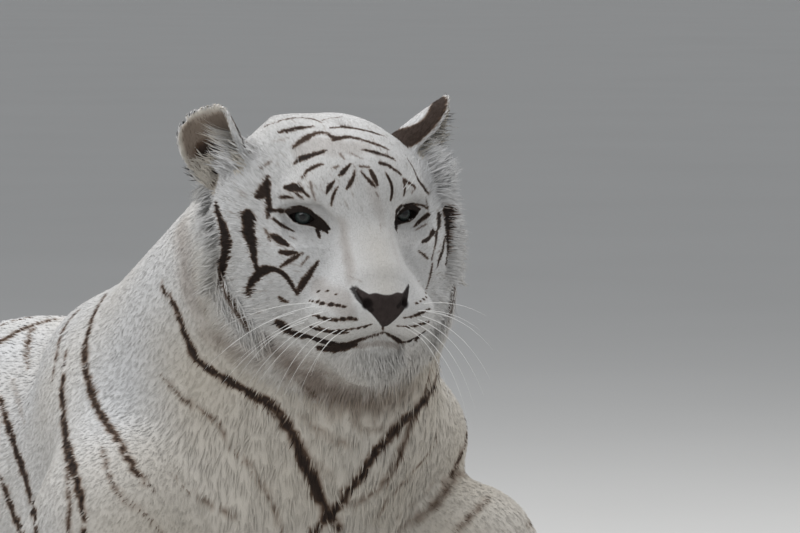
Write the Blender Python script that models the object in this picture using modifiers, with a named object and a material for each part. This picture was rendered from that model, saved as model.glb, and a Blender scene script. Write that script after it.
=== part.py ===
"""White tiger, adult, lying with its head raised: a still, life-size museum model.

Frame: +X toward the head, +Y toward the animal's own left, +Z up, metres.
The body is blended from named masses of flesh and coat (ribcage, shoulder, cheek,
muzzle and so on), meshed whole, set flat on the floor plane, and then parted by
thin cuts into the pieces a person would name.  All outlines are those of the coat tips.
"""
import math

import bmesh
import bpy
import numpy as np
from mathutils import Matrix, Vector

# ------------------------------------------------------------------ driving dimensions
GAP = 0.0003                 # cut width between neighbouring pieces
SINK = 0.007                 # how far lying masses are pressed flat at the floor
WITHERS_HEIGHT = 0.53        # top of the shoulder blades, lying, coat included
TRUNK_SIDE = 0.07            # sideways drift of the hips from the line of the withers
HEAD_AT = (0.505, -0.012, 0.672)   # point midway between the eyes
HEAD_YAW = -9.0              # degrees, head turned to the animal's right
HEAD_PITCH = 6.0             # degrees, nose lowered
EYE_RADIUS = 0.0192
EYE_SPREAD = 0.0565          # half distance between eyeball centres
EYE_BACK = -0.022            # eyeball centres behind the line of the inner lids
EAR_ROOT = {-1: (-0.100, -0.120, 0.032), 1: (-0.100, 0.074, 0.043)}   # on the head: right, left
EAR_HEIGHT = {-1: 0.098, 1: 0.118}
EAR_RADIUS = {-1: 0.043, 1: 0.046}      # radius each ear is cupped to
EAR_TURN = {-1: 62.0, 1: 72.0}          # degrees each ear opens outward
EAR_LEAN = {-1: 24.0, 1: 48.0}          # degrees each ear leans outward
EAR_PITCH = {-1: -0.10, 1: 0.05}        # how far each ear pitches forward
MUZZLE_HALF_WIDTH = 0.077
HEAD_TRIS, BODY_TRIS, PAW_TRIS = 4000, 2400, 470
BODY_VOXEL, HEAD_VOXEL, PAW_VOXEL = 0.016, 0.0062, 0.0075

for old in list(bpy.data.objects):
    bpy.data.objects.remove(old, do_unlink=True)

scene = bpy.context.scene
parts = bpy.data.collections.new("white_tiger")
cutters = bpy.data.collections.new("cutters")
scene.collection.children.link(parts)
scene.collection.children.link(cutters)


# ------------------------------------------------------------------ frames
def rot(yaw=0.0, pitch=0.0, roll=0.0):
    """Turn: roll about X, then nose-down pitch, then yaw, in degrees."""
    m = (Matrix.Rotation(math.radians(yaw), 3, "Z") @ Matrix.Rotation(math.radians(pitch), 3, "Y")
         @ Matrix.Rotation(math.radians(roll), 3, "X"))
    return np.array(m)


HEAD_ROT = rot(HEAD_YAW, HEAD_PITCH)
HEAD_ORIGIN = np.array(HEAD_AT)


def head_point(x, y, z):
    return HEAD_ROT @ np.array((x, y, z)) + HEAD_ORIGIN


def drift(x):
    """Sideways offset of the spine behind the withers."""
    return -TRUNK_SIDE * np.clip(-x / 0.9, 0.0, 1.2) ** 1.5


# ------------------------------------------------------------------ masses
# ("ball", centre, half axes, turn, blend) or ("limb", end A, end B, radius A, radius B, blend)
def ball(centre, half, blend, turn=None):
    return ("ball", np.array(centre, float), np.array(half, float), np.eye(3) if turn is None else turn, blend)


def limb(a, b, ra, rb, blend):
    return ("limb", np.array(a, float), np.array(b, float), ra, rb, blend)


def trunk_masses():
    d = drift
    out = [
        ball((0.05, 0, 0.262), (0.30, 0.200, 0.262), 0.05),                 # chest
        ball((-0.27, d(-0.27), 0.245), (0.36, 0.212, 0.260), 0.06),         # ribcage
        ball((-0.58, d(-0.58), 0.235), (0.30, 0.178, 0.235), 0.06),         # loin
        ball((-0.50, d(-0.50), 0.115), (0.34, 0.215, 0.125), 0.06),         # belly spread on the floor
        ball((-0.86, d(-0.86), 0.250), (0.20, 0.158, 0.215), 0.06),         # rump
        ball((-0.04, 0, 0.430), (0.16, 0.085, 0.093), 0.06),                # withers
        ball((0.27, 0.012, 0.340), (0.135, 0.165, 0.190), 0.06),            # breast
        ball((0.335, 0.01, 0.330), (0.075, 0.110, 0.165), 0.06),            # breast fur
        limb((0.02, -0.090, 0.472), (0.23, -0.165, 0.315), 0.062, 0.092, 0.05),   # right shoulder blade
        limb((0.04, 0.088, 0.472), (0.262, 0.178, 0.386), 0.062, 0.090, 0.05),    # left shoulder blade
        limb((0.07, 0, 0.400), (0.340, -0.008, 0.585), 0.176, 0.150, 0.06),       # neck
        limb((0.308, 0.044, 0.450), (0.374, 0.030, 0.560), 0.154, 0.128, 0.05),    # throat
        limb((-1.00, d(-1.00), 0.300), (-1.09, d(-1.05), 0.190), 0.075, 0.052, 0.05),   # root of the tail
    ]
    return out


def foreleg_masses(side):
    """side -1: right, folded under the shoulder; +1: left, reaching forward and out."""
    if side < 0:
        shoulder, elbow, wrist, ball_of_foot = (0.235, -0.170, 0.300), (0.090, -0.245, 0.105), (0.385, -0.215, 0.060), (0.515, -0.205, 0.050)
    else:
        shoulder, elbow, wrist, ball_of_foot = (0.326, 0.232, 0.236), (0.372, 0.302, 0.128), (0.610, 0.270, 0.062), (0.740, 0.262, 0.050)
    toe_dir = np.array(ball_of_foot) - np.array(wrist)
    toe_dir /= np.linalg.norm(toe_dir)
    across = np.array((-toe_dir[1], toe_dir[0], 0.0))
    out = [
        limb(shoulder, elbow, 0.102 if side > 0 else 0.108, 0.080, 0.05),                      # upper arm
        limb(elbow, wrist, 0.080, 0.052, 0.04),                         # forearm
        limb(wrist, ball_of_foot, 0.052, 0.055, 0.03),                  # wrist and palm
    ]
    for k in (-1.5, -0.5, 0.5, 1.5):                                    # four toes
        reach = 0.078 - 0.010 * abs(k) ** 1.5
        toe = np.array(ball_of_foot) + toe_dir * reach + across * 0.0265 * k
        toe[2] = 0.032
        knuckle = np.array(ball_of_foot) + toe_dir * 0.025 + across * 0.021 * k
        knuckle[2] = 0.052
        out.append(limb(knuckle, toe, 0.023, 0.0235, 0.012))
    return out


def hindleg_masses(side):
    y0 = float(drift(-0.85))
    hip = (-0.84, y0 + side * 0.085, 0.270)
    knee = (-0.585, y0 + side * 0.185, 0.185)
    hock = (-0.900, y0 + side * 0.195, 0.062)
    foot = (-0.660, y0 + side * 0.235, 0.044)
    out = [
        limb(hip, knee, 0.150, 0.092, 0.05),                            # thigh
        limb(knee, hock, 0.082, 0.050, 0.04),                           # shank
        limb(hock, foot, 0.047, 0.047, 0.03),                           # hind foot
    ]
    toe_dir = np.array(foot) - np.array(hock)
    toe_dir[2] = 0
    toe_dir /= np.linalg.norm(toe_dir)
    across = np.array((-toe_dir[1], toe_dir[0], 0.0))
    for k in (-1.5, -0.5, 0.5, 1.5):
        toe = np.array(foot) + toe_dir * (0.075 - 0.009 * abs(k) ** 1.5) + across * 0.024 * k
        toe[2] = 0.029
        knuckle = np.array(foot) + toe_dir * 0.022 + across * 0.019 * k
        knuckle[2] = 0.046
        out.append(limb(knuckle, toe, 0.021, 0.021, 0.012))
    return out


def tail_path(n):
    """The tail runs back, down to the floor and round to the left, n points."""
    start = np.array((-1.045, float(drift(-1.03)), 0.235))
    keys = [start, start + (-0.085, 0.005, -0.115), start + (-0.165, 0.030, -0.190), start + (-0.255, 0.095, -0.197),
            start + (-0.300, 0.205, -0.199), start + (-0.270, 0.330, -0.201), start + (-0.170, 0.420, -0.203),
            start + (-0.040, 0.455, -0.204)]
    keys = np.array(keys)
    t = np.linspace(0, len(keys) - 1, n)
    out = []
    for v in t:                                                         # Catmull-Rom through the keys
        i = min(int(v), len(keys) - 2)
        f = v - i
        p0, p1, p2, p3 = keys[max(i - 1, 0)], keys[i], keys[i + 1], keys[min(i + 2, len(keys) - 1)]
        out.append(0.5 * (2 * p1 + (p2 - p0) * f + (2 * p0 - 5 * p1 + 4 * p2 - p3) * f * f + (3 * p1 - p0 - 3 * p2 + p3) * f ** 3))
    return np.array(out)


def tail_masses():
    pts = tail_path(17)
    radii = np.linspace(0.050, 0.030, 17)
    radii[-1] = 0.020
    return [limb(pts[i], pts[i + 1], radii[i], radii[i + 1], 0.010) for i in range(16)]


def head_masses():
    hp, tilt = head_point, HEAD_ROT
    out = [
        ball(hp(-0.088, 0, 0.010), (0.112, 0.102, 0.097), 0.03, tilt),      # cranium
        ball(hp(-0.044, 0, 0.024), (0.080, 0.080, 0.062), 0.03, tilt),      # forehead
        limb(hp(-0.026, 0, 0.016), hp(0.058, 0, -0.064), 0.047, 0.037, 0.025),   # bridge of the nose
        ball(hp(0.034, 0, -0.092), (0.066, 0.062, 0.048), 0.03, tilt),      # upper jaw
        limb(hp(0.046, 0, -0.140), hp(-0.02, 0, -0.138), 0.037, 0.050, 0.018),   # chin
        ball(hp(0.052, 0, -0.154), (0.036, 0.043, 0.036), 0.012, tilt),     # chin tuft
        ball(hp(-0.065, 0, -0.105), (0.085, 0.095, 0.075), 0.04, tilt),     # gullet
        ball(hp(0.091, 0, -0.088), (0.020, 0.030, 0.024), 0.012, tilt),     # tip of the nose
    ]
    for s in (-1, 1):
        out += [
            ball(hp(0.052, s * 0.037, -0.102), (0.050, 0.039, 0.033), 0.016, tilt),      # whisker pad
            ball(hp(-0.036, s * 0.066, -0.050), (0.066, 0.052, 0.058), 0.03, tilt),      # cheekbone
            ball(hp(-0.074, s * 0.094, -0.038), (0.058, 0.056, 0.106), 0.03, tilt),      # cheek ruff
            ball(hp(-0.062, s * 0.087, -0.122), (0.060, 0.052, 0.062), 0.03, tilt),      # lower ruff
            ball(hp(-0.016, s * 0.048, 0.026), (0.034, 0.034, 0.018), 0.016, tilt),      # brow
            limb(hp(0.034, s * 0.020, -0.134), hp(-0.052, s * 0.074, -0.118), 0.031, 0.042, 0.022),   # side of the lower jaw
        ]
    out += [
        limb(hp(-0.090, -0.060, 0.049), hp(-0.106, -0.095, 0.038), 0.056, 0.032, 0.025),   # roots of the ears, right and left
        limb(hp(-0.090, 0.050, 0.020), hp(-0.100, 0.100, 0.014), 0.046, 0.040, 0.025),
    ]
    return out


def head_hollows():
    """Taken away from the head: (centre, half axes, turn, blend)."""
    out = []
    for s in (-1, 1):
        out.append((head_point(0.008, s * 0.0660, -0.001), np.array((0.021, 0.0235, 0.0165)), rot(HEAD_YAW, HEAD_PITCH) @ rot(s * 24.0), 0.012))
    return out


def distance(mass, p):
    if mass[0] == "ball":
        q = (p - mass[1]) @ mass[3]
        k0 = np.linalg.norm(q / mass[2], axis=1)
        k1 = np.linalg.norm(q / mass[2] ** 2, axis=1)
        return k0 * (k0 - 1.0) / np.maximum(k1, 1e-9)
    a, b = mass[1], mass[2]
    ab = b - a
    t = np.clip((p - a) @ ab / (ab @ ab), 0.0, 1.0)
    return np.linalg.norm(p - a - t[:, None] * ab, axis=1) - (mass[3] + (mass[4] - mass[3]) * t)


def blend(a, b, k):
    h = np.maximum(k - np.abs(a - b), 0.0) / k
    return np.minimum(a, b) - h * h * k * 0.25


def blended(masses, p):
    d = distance(masses[0], p)
    for m in masses[1:]:
        d = blend(d, distance(m, p), m[-1])
    return d


TRUNK, HEAD = trunk_masses(), head_masses()
LEGS = [foreleg_masses(-1), foreleg_masses(1), hindleg_masses(-1), hindleg_masses(1)]
TAIL = tail_masses()
HOLLOWS = head_hollows()


def surface_distance(p):
    """Signed distance to the outline of the coat."""
    d = blended(TRUNK, p)
    h = blended(HEAD, p)
    d = blend(d, h, 0.045)
    for leg in LEGS:
        d = blend(d, blended(leg, p), 0.035)
    d = blend(d, blended(TAIL, p), 0.02)
    for centre, half, turn, k in HOLLOWS:
        c = distance(("ball", centre, half, turn, k), p)
        d = -blend(-d, c, k)
    return d


def settle(points, steps):
    """Moves points onto the outline along its own slope."""
    e = 0.0008
    dirs = np.array(((1, 1, 1), (1, -1, -1), (-1, 1, -1), (-1, -1, 1)), float)
    for _ in range(steps):
        vals = [surface_distance(points + e * v) for v in dirs]
        g = sum(v[:, None] * w for v, w in zip(vals, dirs)) / (4 * e)
        d = sum(vals) / 4.0
        g2 = np.maximum((g * g).sum(1), 0.2)
        points = points - np.clip(d / g2, -0.012, 0.012)[:, None] * g
    return points


# ------------------------------------------------------------------ mesh helpers
def put(bm_or_mesh, name, collection):
    if isinstance(bm_or_mesh, bmesh.types.BMesh):
        mesh = bpy.data.meshes.new(name)
        bm_or_mesh.to_mesh(mesh)
        bm_or_mesh.free()
    else:
        mesh = bm_or_mesh
    obj = bpy.data.objects.new(name, mesh)
    collection.objects.link(obj)
    return obj


def evaluated(obj):
    deps = bpy.context.evaluated_depsgraph_get()
    deps.update()
    return bpy.data.meshes.new_from_object(obj.evaluated_get(deps))


def bake(obj):
    """Applies an object's modifiers."""
    mesh = evaluated(obj)
    obj.modifiers.clear()
    obj.data = mesh


def raw_masses(masses, name):
    """Every mass as plain spheres, before they are joined."""
    bm = bmesh.new()
    for m in masses:
        if m[0] == "ball":
            spots = [(m[1], m[2], m[3])]
        else:
            n = max(2, int(np.linalg.norm(m[2] - m[1]) / (0.35 * min(m[3], m[4]))) + 1)
            spots = [(m[1] + (m[2] - m[1]) * t, np.full(3, m[3] + (m[4] - m[3]) * t), np.eye(3)) for t in np.linspace(0, 1, n)]
        for centre, half, turn in spots:
            mat = Matrix.Translation(Vector(centre)) @ Matrix(turn.tolist()).to_4x4() @ Matrix.Diagonal(Vector((*half, 1.0)))
            bmesh.ops.create_icosphere(bm, subdivisions=3, radius=1.0, matrix=mat)
    return put(bm, name, cutters)


def vertices(mesh):
    v = np.empty(len(mesh.vertices) * 3)
    mesh.vertices.foreach_get("co", v)
    return v.reshape(-1, 3)


def set_vertices(mesh, v):
    mesh.vertices.foreach_set("co", np.asarray(v, np.float32).ravel())
    mesh.update()


def relax(mesh, rounds):
    """Evens out the net, keeping it on the outline."""
    edges = np.empty(len(mesh.edges) * 2, int)
    mesh.edges.foreach_get("vertices", edges)
    edges = edges.reshape(-1, 2)
    v = vertices(mesh)
    count = np.bincount(edges.ravel(), minlength=len(v))[:, None]
    for _ in range(rounds):
        s = np.zeros_like(v)
        np.add.at(s, edges[:, 0], v[edges[:, 1]])
        np.add.at(s, edges[:, 1], v[edges[:, 0]])
        v = settle(v + 0.5 * (s / np.maximum(count, 1) - v), 1)
    set_vertices(mesh, settle(v, 3))


def outline(masses, voxel, triangles, name):
    """One closed net over the blended masses, with about the given number of triangles."""
    obj = raw_masses(masses, name)
    mod = obj.modifiers.new("join", "REMESH")
    mod.mode, mod.voxel_size, mod.use_smooth_shade = "VOXEL", voxel, False
    bake(obj)
    set_vertices(obj.data, settle(vertices(obj.data), 6))
    relax(obj.data, 6)
    bm = bmesh.new()
    bm.from_mesh(obj.data)
    bmesh.ops.triangulate(bm, faces=bm.faces)
    bm.to_mesh(obj.data)
    bm.free()
    dec = obj.modifiers.new("thin_out", "DECIMATE")
    dec.ratio = min(1.0, triangles / len(obj.data.polygons))
    bake(obj)
    set_vertices(obj.data, settle(vertices(obj.data), 2))
    return guide(obj)


def block(name, centre, half, turn=None, grow=0.0, taper=1.0):
    """A box cutter, given by centre, half sizes and turn; taper narrows its lower end."""
    bm = bmesh.new()
    mat = Matrix.Translation(Vector(centre)) @ (Matrix(turn.tolist()).to_4x4() if turn is not None else Matrix())
    mat = mat @ Matrix.Diagonal(Vector((*(2 * (np.array(half) + grow)), 1.0)))
    bmesh.ops.create_cube(bm, size=1.0)
    for w in bm.verts:
        if w.co.z < 0:
            w.co.y *= taper
    bmesh.ops.transform(bm, matrix=mat, verts=bm.verts)
    return guide(put(bm, name, cutters))


def orb(name, centre, half, turn=None, grow=0.0, around=14):
    bm = bmesh.new()
    mat = Matrix.Translation(Vector(centre)) @ (Matrix(turn.tolist()).to_4x4() if turn is not None else Matrix())
    mat = mat @ Matrix.Diagonal(Vector((*(np.array(half) + grow), 1.0)))
    bmesh.ops.create_uvsphere(bm, u_segments=around, v_segments=around // 2 + 1, radius=1.0, matrix=mat)
    return guide(put(bm, name, cutters))


def guide(obj):
    obj.hide_render = True
    obj.display_type = "WIRE"
    return obj


def cut(obj, tool, how):
    mod = obj.modifiers.new(how.lower(), "BOOLEAN")
    mod.operation, mod.object, mod.solver = how, tool, "EXACT"
    before = obj.data
    bake(obj)
    if len(obj.data.vertices) < 4:                       # the exact solver gave nothing back
        obj.data = before
        mod = obj.modifiers.new(how.lower(), "BOOLEAN")
        mod.operation, mod.object, mod.solver = how, tool, "MANIFOLD"
        bake(obj)


def copy(obj, name, collection):
    new = bpy.data.objects.new(name, obj.data.copy())
    collection.objects.link(new)
    return new


def keep_largest(obj):
    """Drops crumbs a cut may leave beside the piece."""
    bm = bmesh.new()
    bm.from_mesh(obj.data)
    left, groups = set(bm.verts), []
    while left:
        seed = left.pop()
        group, queue = {seed}, [seed]
        while queue:
            for e in queue.pop().link_edges:
                for w in e.verts:
                    if w in left:
                        left.discard(w)
                        group.add(w)
                        queue.append(w)
        groups.append(group)
    groups.sort(key=len, reverse=True)
    for g in groups[1:]:
        bmesh.ops.delete(bm, geom=list(g), context="VERTS")
    bm.to_mesh(obj.data)
    bm.free()


def part_off(source, name, shape, **size):
    """Cuts the piece inside a cutter off the source, leaving the gap."""
    piece = copy(source, name, parts)
    cut(piece, shape(name + "_cut", **size), "INTERSECT")
    keep_largest(piece)
    cut(source, shape(name + "_clear", grow=GAP, **size), "DIFFERENCE")
    return piece


def paw(source, name, masses, shape, **size):
    """A paw is netted finer than the body, so that its toes stand apart; its cutter stands on the floor plane."""
    net = outline(masses, PAW_VOXEL, PAW_TRIS, name + "_net")
    v = vertices(net.data)
    v[:, 2] -= SINK
    set_vertices(net.data, v)
    piece = copy(net, name, parts)
    cut(piece, shape(name + "_cut", **size), "INTERSECT")
    keep_largest(piece)
    cut(source, shape(name + "_clear", grow=GAP, **size), "DIFFERENCE")
    keep_largest(source)
    return piece


# ------------------------------------------------------------------ body and head, whole
body_net = outline(TRUNK + LEGS[0] + LEGS[1] + LEGS[2] + LEGS[3] + TAIL + HEAD, BODY_VOXEL, BODY_TRIS, "body_net")
head_net = outline(HEAD + TRUNK[5:12], HEAD_VOXEL, HEAD_TRIS, "head_net")

# the floor: everything that lies on it is flat at z = 0
body = copy(body_net, "trunk_chest", parts)
v = vertices(body.data)
v[:, 2] -= SINK
set_vertices(body.data, v)
cut(body, block("floor", (0, 0, -0.5), (3.0, 3.0, 0.5)), "DIFFERENCE")
keep_largest(body)
v = vertices(head_net.data)
v[:, 2] -= SINK
set_vertices(head_net.data, v)
HEAD_ORIGIN = HEAD_ORIGIN - np.array((0, 0, SINK))


def low(p):
    """A point of the modelled frame, after the body is pressed to the floor."""
    return (p[0], p[1], p[2] - SINK)


# ------------------------------------------------------------------ head and its pieces
HEAD_BOX = dict(centre=head_point(0.085, 0, 0.02), half=(0.20, 0.30, 0.30), turn=rot(HEAD_YAW, HEAD_PITCH - 31.0))
head = copy(head_net, "head", parts)
cut(head, block("head_cut", **HEAD_BOX), "INTERSECT")
keep_largest(head)
cut(body, block("head_clear", grow=GAP, **HEAD_BOX), "DIFFERENCE")
keep_largest(body)

jaw = part_off(head, "lower_jaw", block, centre=head_point(0.085, 0, -0.222), half=(0.115, 0.12, 0.095), turn=rot(HEAD_YAW, HEAD_PITCH - 6.0))
nose = part_off(head, "nose", block, centre=head_point(0.116, 0, -0.089), half=(0.022, 0.0265, 0.0195), turn=rot(HEAD_YAW, HEAD_PITCH + 8.0), taper=0.45)
keep_largest(head)

# ears: cupped leaves, rooted on the head
head_skin = copy(head, "ear_stop", cutters)
guide(head_skin)
swell = head_skin.modifiers.new("swell", "DISPLACE")
swell.strength, swell.mid_level = 2 * GAP, 0.0
bake(head_skin)


def ear(name, side):
    up = HEAD_ROT @ rot(0, 0, -side * EAR_LEAN[side]) @ np.array((EAR_PITCH[side], 0.0, 1.0))
    up /= np.linalg.norm(up)
    face = HEAD_ROT @ rot(side * EAR_TURN[side]) @ np.array((1.0, 0.0, 0.18))
    face -= up * (face @ up)
    face /= np.linalg.norm(face)
    across = np.cross(up, face)
    root = head_point(*EAR_ROOT[side])
    nu, nv = 7, 6
    bm = bmesh.new()
    bmesh.ops.create_grid(bm, x_segments=nv, y_segments=nu, size=1.0)
    for w in bm.verts:
        v_, u = w.co.x, (w.co.y + 1) / 2
        u = u ** 0.9
        half_arc = 0.066 * math.sqrt(max(1.0 - (max(u - 0.42, 0) / 0.60) ** 2.6, 0.012)) * (0.80 + 0.20 * min(u / 0.42, 1.0))
        radius = EAR_RADIUS[side] * (0.80 + 0.20 * min(u / 0.5, 1.0))
        phi = v_ * half_arc / radius
        flare = 0.008 * u * u
        p = root + up * (EAR_HEIGHT[side] * u - 0.010) + across * radius * math.sin(phi) + face * (radius * (1 - math.cos(phi)) * 0.92 - 0.020 + flare)
        w.co = Vector(p)
    obj = put(bm, name, parts)
    thick = obj.modifiers.new("thickness", "SOLIDIFY")
    thick.thickness, thick.offset, thick.use_even_offset = 0.009, 0.0, True
    bake(obj)
    bm = bmesh.new()
    bm.from_mesh(obj.data)
    bmesh.ops.triangulate(bm, faces=bm.faces)
    bmesh.ops.recalc_face_normals(bm, faces=bm.faces)
    bm.to_mesh(obj.data)
    bm.free()
    cut(obj, head_skin, "DIFFERENCE")
    keep_largest(obj)
    return obj


ear_right = ear("ear_right", -1)
ear_left = ear("ear_left", 1)

for side, name in ((-1, "eye_right"), (1, "eye_left")):
    at = head_point(EYE_BACK, side * EYE_SPREAD, 0.0)
    bm = bmesh.new()
    bmesh.ops.create_uvsphere(bm, u_segments=14, v_segments=8, radius=EYE_RADIUS, matrix=Matrix.Translation(Vector(at)))
    put(bm, name, parts)
    cut(head, orb(name + "_socket", centre=at, half=(EYE_RADIUS,) * 3, grow=2 * GAP, around=14), "DIFFERENCE")
keep_largest(head)

# ------------------------------------------------------------------ body and its pieces
y_hip = float(drift(-0.85))
neck = part_off(body, "neck", block, centre=(0.38, 0, 0.68 - SINK), half=(0.30, 0.30, 0.215), turn=rot(0, 38.0))
for side, name in ((-1, "right"), (1, "left")):
    fx = 0.0 if side < 0 else 0.225
    paw(body, "forepaw_" + name, LEGS[0 if side < 0 else 1][2:], block, centre=(0.560 + fx, side * 0.235, 0.07), half=(0.145, 0.095, 0.07))
    part_off(body, "forearm_" + name, block, centre=low((0.31 + fx, side * 0.265, 0.045 if side < 0 else 0.03)),
             half=(0.30, 0.085, 0.125), turn=rot(2.0 if side > 0 else 4.0, 10.0))
    part_off(body, "upper_arm_" + name, orb, centre=low((0.19 if side < 0 else 0.30, side * 0.265, 0.255)), half=(0.20, 0.115, 0.25),
             turn=rot(0, -22.0), around=12)
    paw(body, "hind_paw_" + name, LEGS[2 if side < 0 else 3][2:], block, centre=(-0.59, y_hip + side * 0.243, 0.05), half=(0.085, 0.085, 0.05))
    part_off(body, "hind_foot_" + name, block, centre=low((-0.80, y_hip + side * 0.235, 0.005)), half=(0.24, 0.078, 0.093), turn=rot(side * 5.0, 4.0))
    part_off(body, "thigh_" + name, orb, centre=low((-0.71, y_hip + side * 0.22, 0.22)), half=(0.28, 0.125, 0.235), turn=rot(side * -12.0, 8.0), around=12)

# tail: root and four lengths, cut square to its line
tp = tail_path(101)
for i, (k0, name) in enumerate(((8, "tail_1"), (28, "tail_2"), (50, "tail_3"), (72, "tail_4"))):
    k1 = (28, 50, 72, 100)[i]
    piece = copy(body, name, parts)
    a, b = tp[k0], tp[k0 + 1]
    aim = Vector(b - a).to_track_quat("X", "Z").to_matrix()
    at = Vector(low(a)) + aim @ Vector((0.35, 0, 0))
    if i == 0:
        box = dict(centre=(at.x, at.y, at.z), half=(0.35, 0.6, 0.35), turn=np.array(aim))
        cut(piece, block(name + "_cut", **box), "INTERSECT")
        keep_largest(piece)
        cut(body, block(name + "_clear", grow=GAP, **box), "DIFFERENCE")
        keep_largest(body)
        whole_tail = piece
        continue
    previous = whole_tail
    box = dict(centre=(at.x, at.y, at.z), half=(0.35, 0.10, 0.35), turn=np.array(aim))
    bpy.data.objects.remove(piece, do_unlink=True)
    piece = copy(previous, name, parts)
    # everything beyond this cut: two blocks cover the bend that follows
    cut(piece, block(name + "_cut", centre=(at.x, at.y, at.z), half=(0.35, 0.6, 0.35), turn=np.array(aim)), "INTERSECT")
    keep_largest(piece)
    cut(previous, block(name + "_clear", grow=GAP, centre=(at.x, at.y, at.z), half=(0.35, 0.6, 0.35), turn=np.array(aim)), "DIFFERENCE")
    keep_largest(previous)
    whole_tail = piece

rump = part_off(body, "trunk_rump", block, centre=(-1.20, 0, 0.3), half=(0.50, 0.5, 0.5), turn=rot(0, 8.0))
loin = part_off(body, "trunk_loin", block, centre=(-0.88, 0, 0.3), half=(0.50, 0.5, 0.5), turn=rot(0, -6.0))
keep_largest(body)

# ------------------------------------------------------------------ centre the model over its own footprint
pieces = [o for o in parts.objects]
for o in pieces:
    assert len(o.data.vertices) > 3, o.name
lo = np.min([vertices(o.data).min(0) for o in pieces], axis=0)
hi = np.max([vertices(o.data).max(0) for o in pieces], axis=0)
SHIFT = np.array((-(lo[0] + hi[0]) / 2, -(lo[1] + hi[1]) / 2, -lo[2]))
for o in pieces:
    set_vertices(o.data, vertices(o.data) + SHIFT)

# ------------------------------------------------------------------ looks
LOOKS = {
    "coat": ((0.74, 0.73, 0.70), 0.85),
    "face": ((0.78, 0.77, 0.75), 0.85),
    "eye": ((0.035, 0.045, 0.05), 0.08),
    "nose": ((0.085, 0.055, 0.05), 0.45),
}


def look(obj, key):
    mat = bpy.data.materials.new(obj.name + "_" + key)
    mat.use_nodes = True
    shader = next(n for n in mat.node_tree.nodes if n.type == "BSDF_PRINCIPLED")
    colour, rough = LOOKS[key]
    shader.inputs["Base Color"].default_value = (*colour, 1)
    shader.inputs["Roughness"].default_value = rough
    shader.inputs["Metallic"].default_value = 0.0
    mat.diffuse_color = (*colour, 1)
    obj.data.materials.clear()
    obj.data.materials.append(mat)
    obj.data.shade_smooth() if key == "eye" else None


for o in pieces:
    look(o, "eye" if o.name.startswith("eye") else "nose" if o.name == "nose" else "face" if o.name in ("head", "lower_jaw", "ear_left", "ear_right") else "coat")

print("triangles", sum(sum(len(f.vertices) - 2 for f in o.data.polygons) for o in pieces), "nodes", len(pieces))
print("shift", [round(float(s), 6) for s in SHIFT], "size", [round(float(s), 4) for s in hi - lo])
for o in pieces:
    print("  ", o.name, sum(len(f.vertices) - 2 for f in o.data.polygons))
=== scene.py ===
"""Looks of the lying white tiger: one skin over the solids, its markings, coat, eyes and whiskers."""
import math
import time

import bmesh
import bpy
import numpy as np
from mathutils import Matrix, Vector


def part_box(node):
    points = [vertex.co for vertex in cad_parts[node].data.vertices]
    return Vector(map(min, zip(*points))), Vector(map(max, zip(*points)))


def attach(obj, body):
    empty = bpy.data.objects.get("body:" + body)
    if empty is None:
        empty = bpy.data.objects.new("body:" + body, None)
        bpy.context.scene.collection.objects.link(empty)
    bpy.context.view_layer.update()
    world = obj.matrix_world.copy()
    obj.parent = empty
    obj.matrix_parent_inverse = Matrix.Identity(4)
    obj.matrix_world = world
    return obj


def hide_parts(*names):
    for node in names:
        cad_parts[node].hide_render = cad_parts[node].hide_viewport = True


T0 = time.time()
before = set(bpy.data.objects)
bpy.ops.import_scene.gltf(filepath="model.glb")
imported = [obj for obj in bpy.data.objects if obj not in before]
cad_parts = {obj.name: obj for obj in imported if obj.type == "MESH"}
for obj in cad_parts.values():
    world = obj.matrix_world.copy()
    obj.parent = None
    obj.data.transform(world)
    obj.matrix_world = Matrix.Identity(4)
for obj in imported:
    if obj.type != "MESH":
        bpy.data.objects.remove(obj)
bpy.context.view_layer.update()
rng = np.random.default_rng(7)


def clock(what):
    print("%6.1f s  %s" % (time.time() - T0, what), flush=True)


# ------------------------------------------------------------------ the same masses as the solids
SINK = 0.007
TRUNK_SIDE = 0.07
HEAD_AT = (0.505, -0.012, 0.672)
HEAD_YAW, HEAD_PITCH = -9.0, 6.0
EYE_RADIUS, EYE_SPREAD, EYE_BACK = 0.0192, 0.0565, -0.022
# ears, right and left: root, height, cup radius, degrees opened outward and leaned outward, pitch forward
EAR_ROOT = {-1: (-0.100, -0.120, 0.032), 1: (-0.100, 0.074, 0.043)}
EAR_HEIGHT = {-1: 0.098, 1: 0.118}
EAR_RADIUS = {-1: 0.043, 1: 0.046}
EAR_TURN = {-1: 62.0, 1: 72.0}
EAR_LEAN = {-1: 24.0, 1: 48.0}
EAR_PITCH = {-1: -0.10, 1: 0.05}


def rot(yaw=0.0, pitch=0.0, roll=0.0):
    m = (Matrix.Rotation(math.radians(yaw), 3, "Z") @ Matrix.Rotation(math.radians(pitch), 3, "Y")
         @ Matrix.Rotation(math.radians(roll), 3, "X"))
    return np.array(m)


HEAD_ROT = rot(HEAD_YAW, HEAD_PITCH)
HEAD_ORIGIN = np.array(HEAD_AT)


def hp(x, y, z):
    return HEAD_ROT @ np.array((x, y, z)) + HEAD_ORIGIN


def drift(x):
    return -TRUNK_SIDE * np.clip(-x / 0.9, 0.0, 1.2) ** 1.5


# each mass also carries its coat: depth, length and width of the tufts (mm) and the way they lie
def ball(centre, half, k, turn=None, coat=(8, 20, 4.0), lie=(-0.9, 0, -0.45)):
    return ["ball", np.array(centre, float), np.array(half, float), np.eye(3) if turn is None else turn, k, coat, lie]


def limb(a, b, ra, rb, k, coat=(8, 20, 4.0), lie=None):
    a, b = np.array(a, float), np.array(b, float)
    return ["limb", a, b, (ra, rb), k, coat, tuple((b - a) / np.linalg.norm(b - a)) if lie is None else lie]


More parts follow.
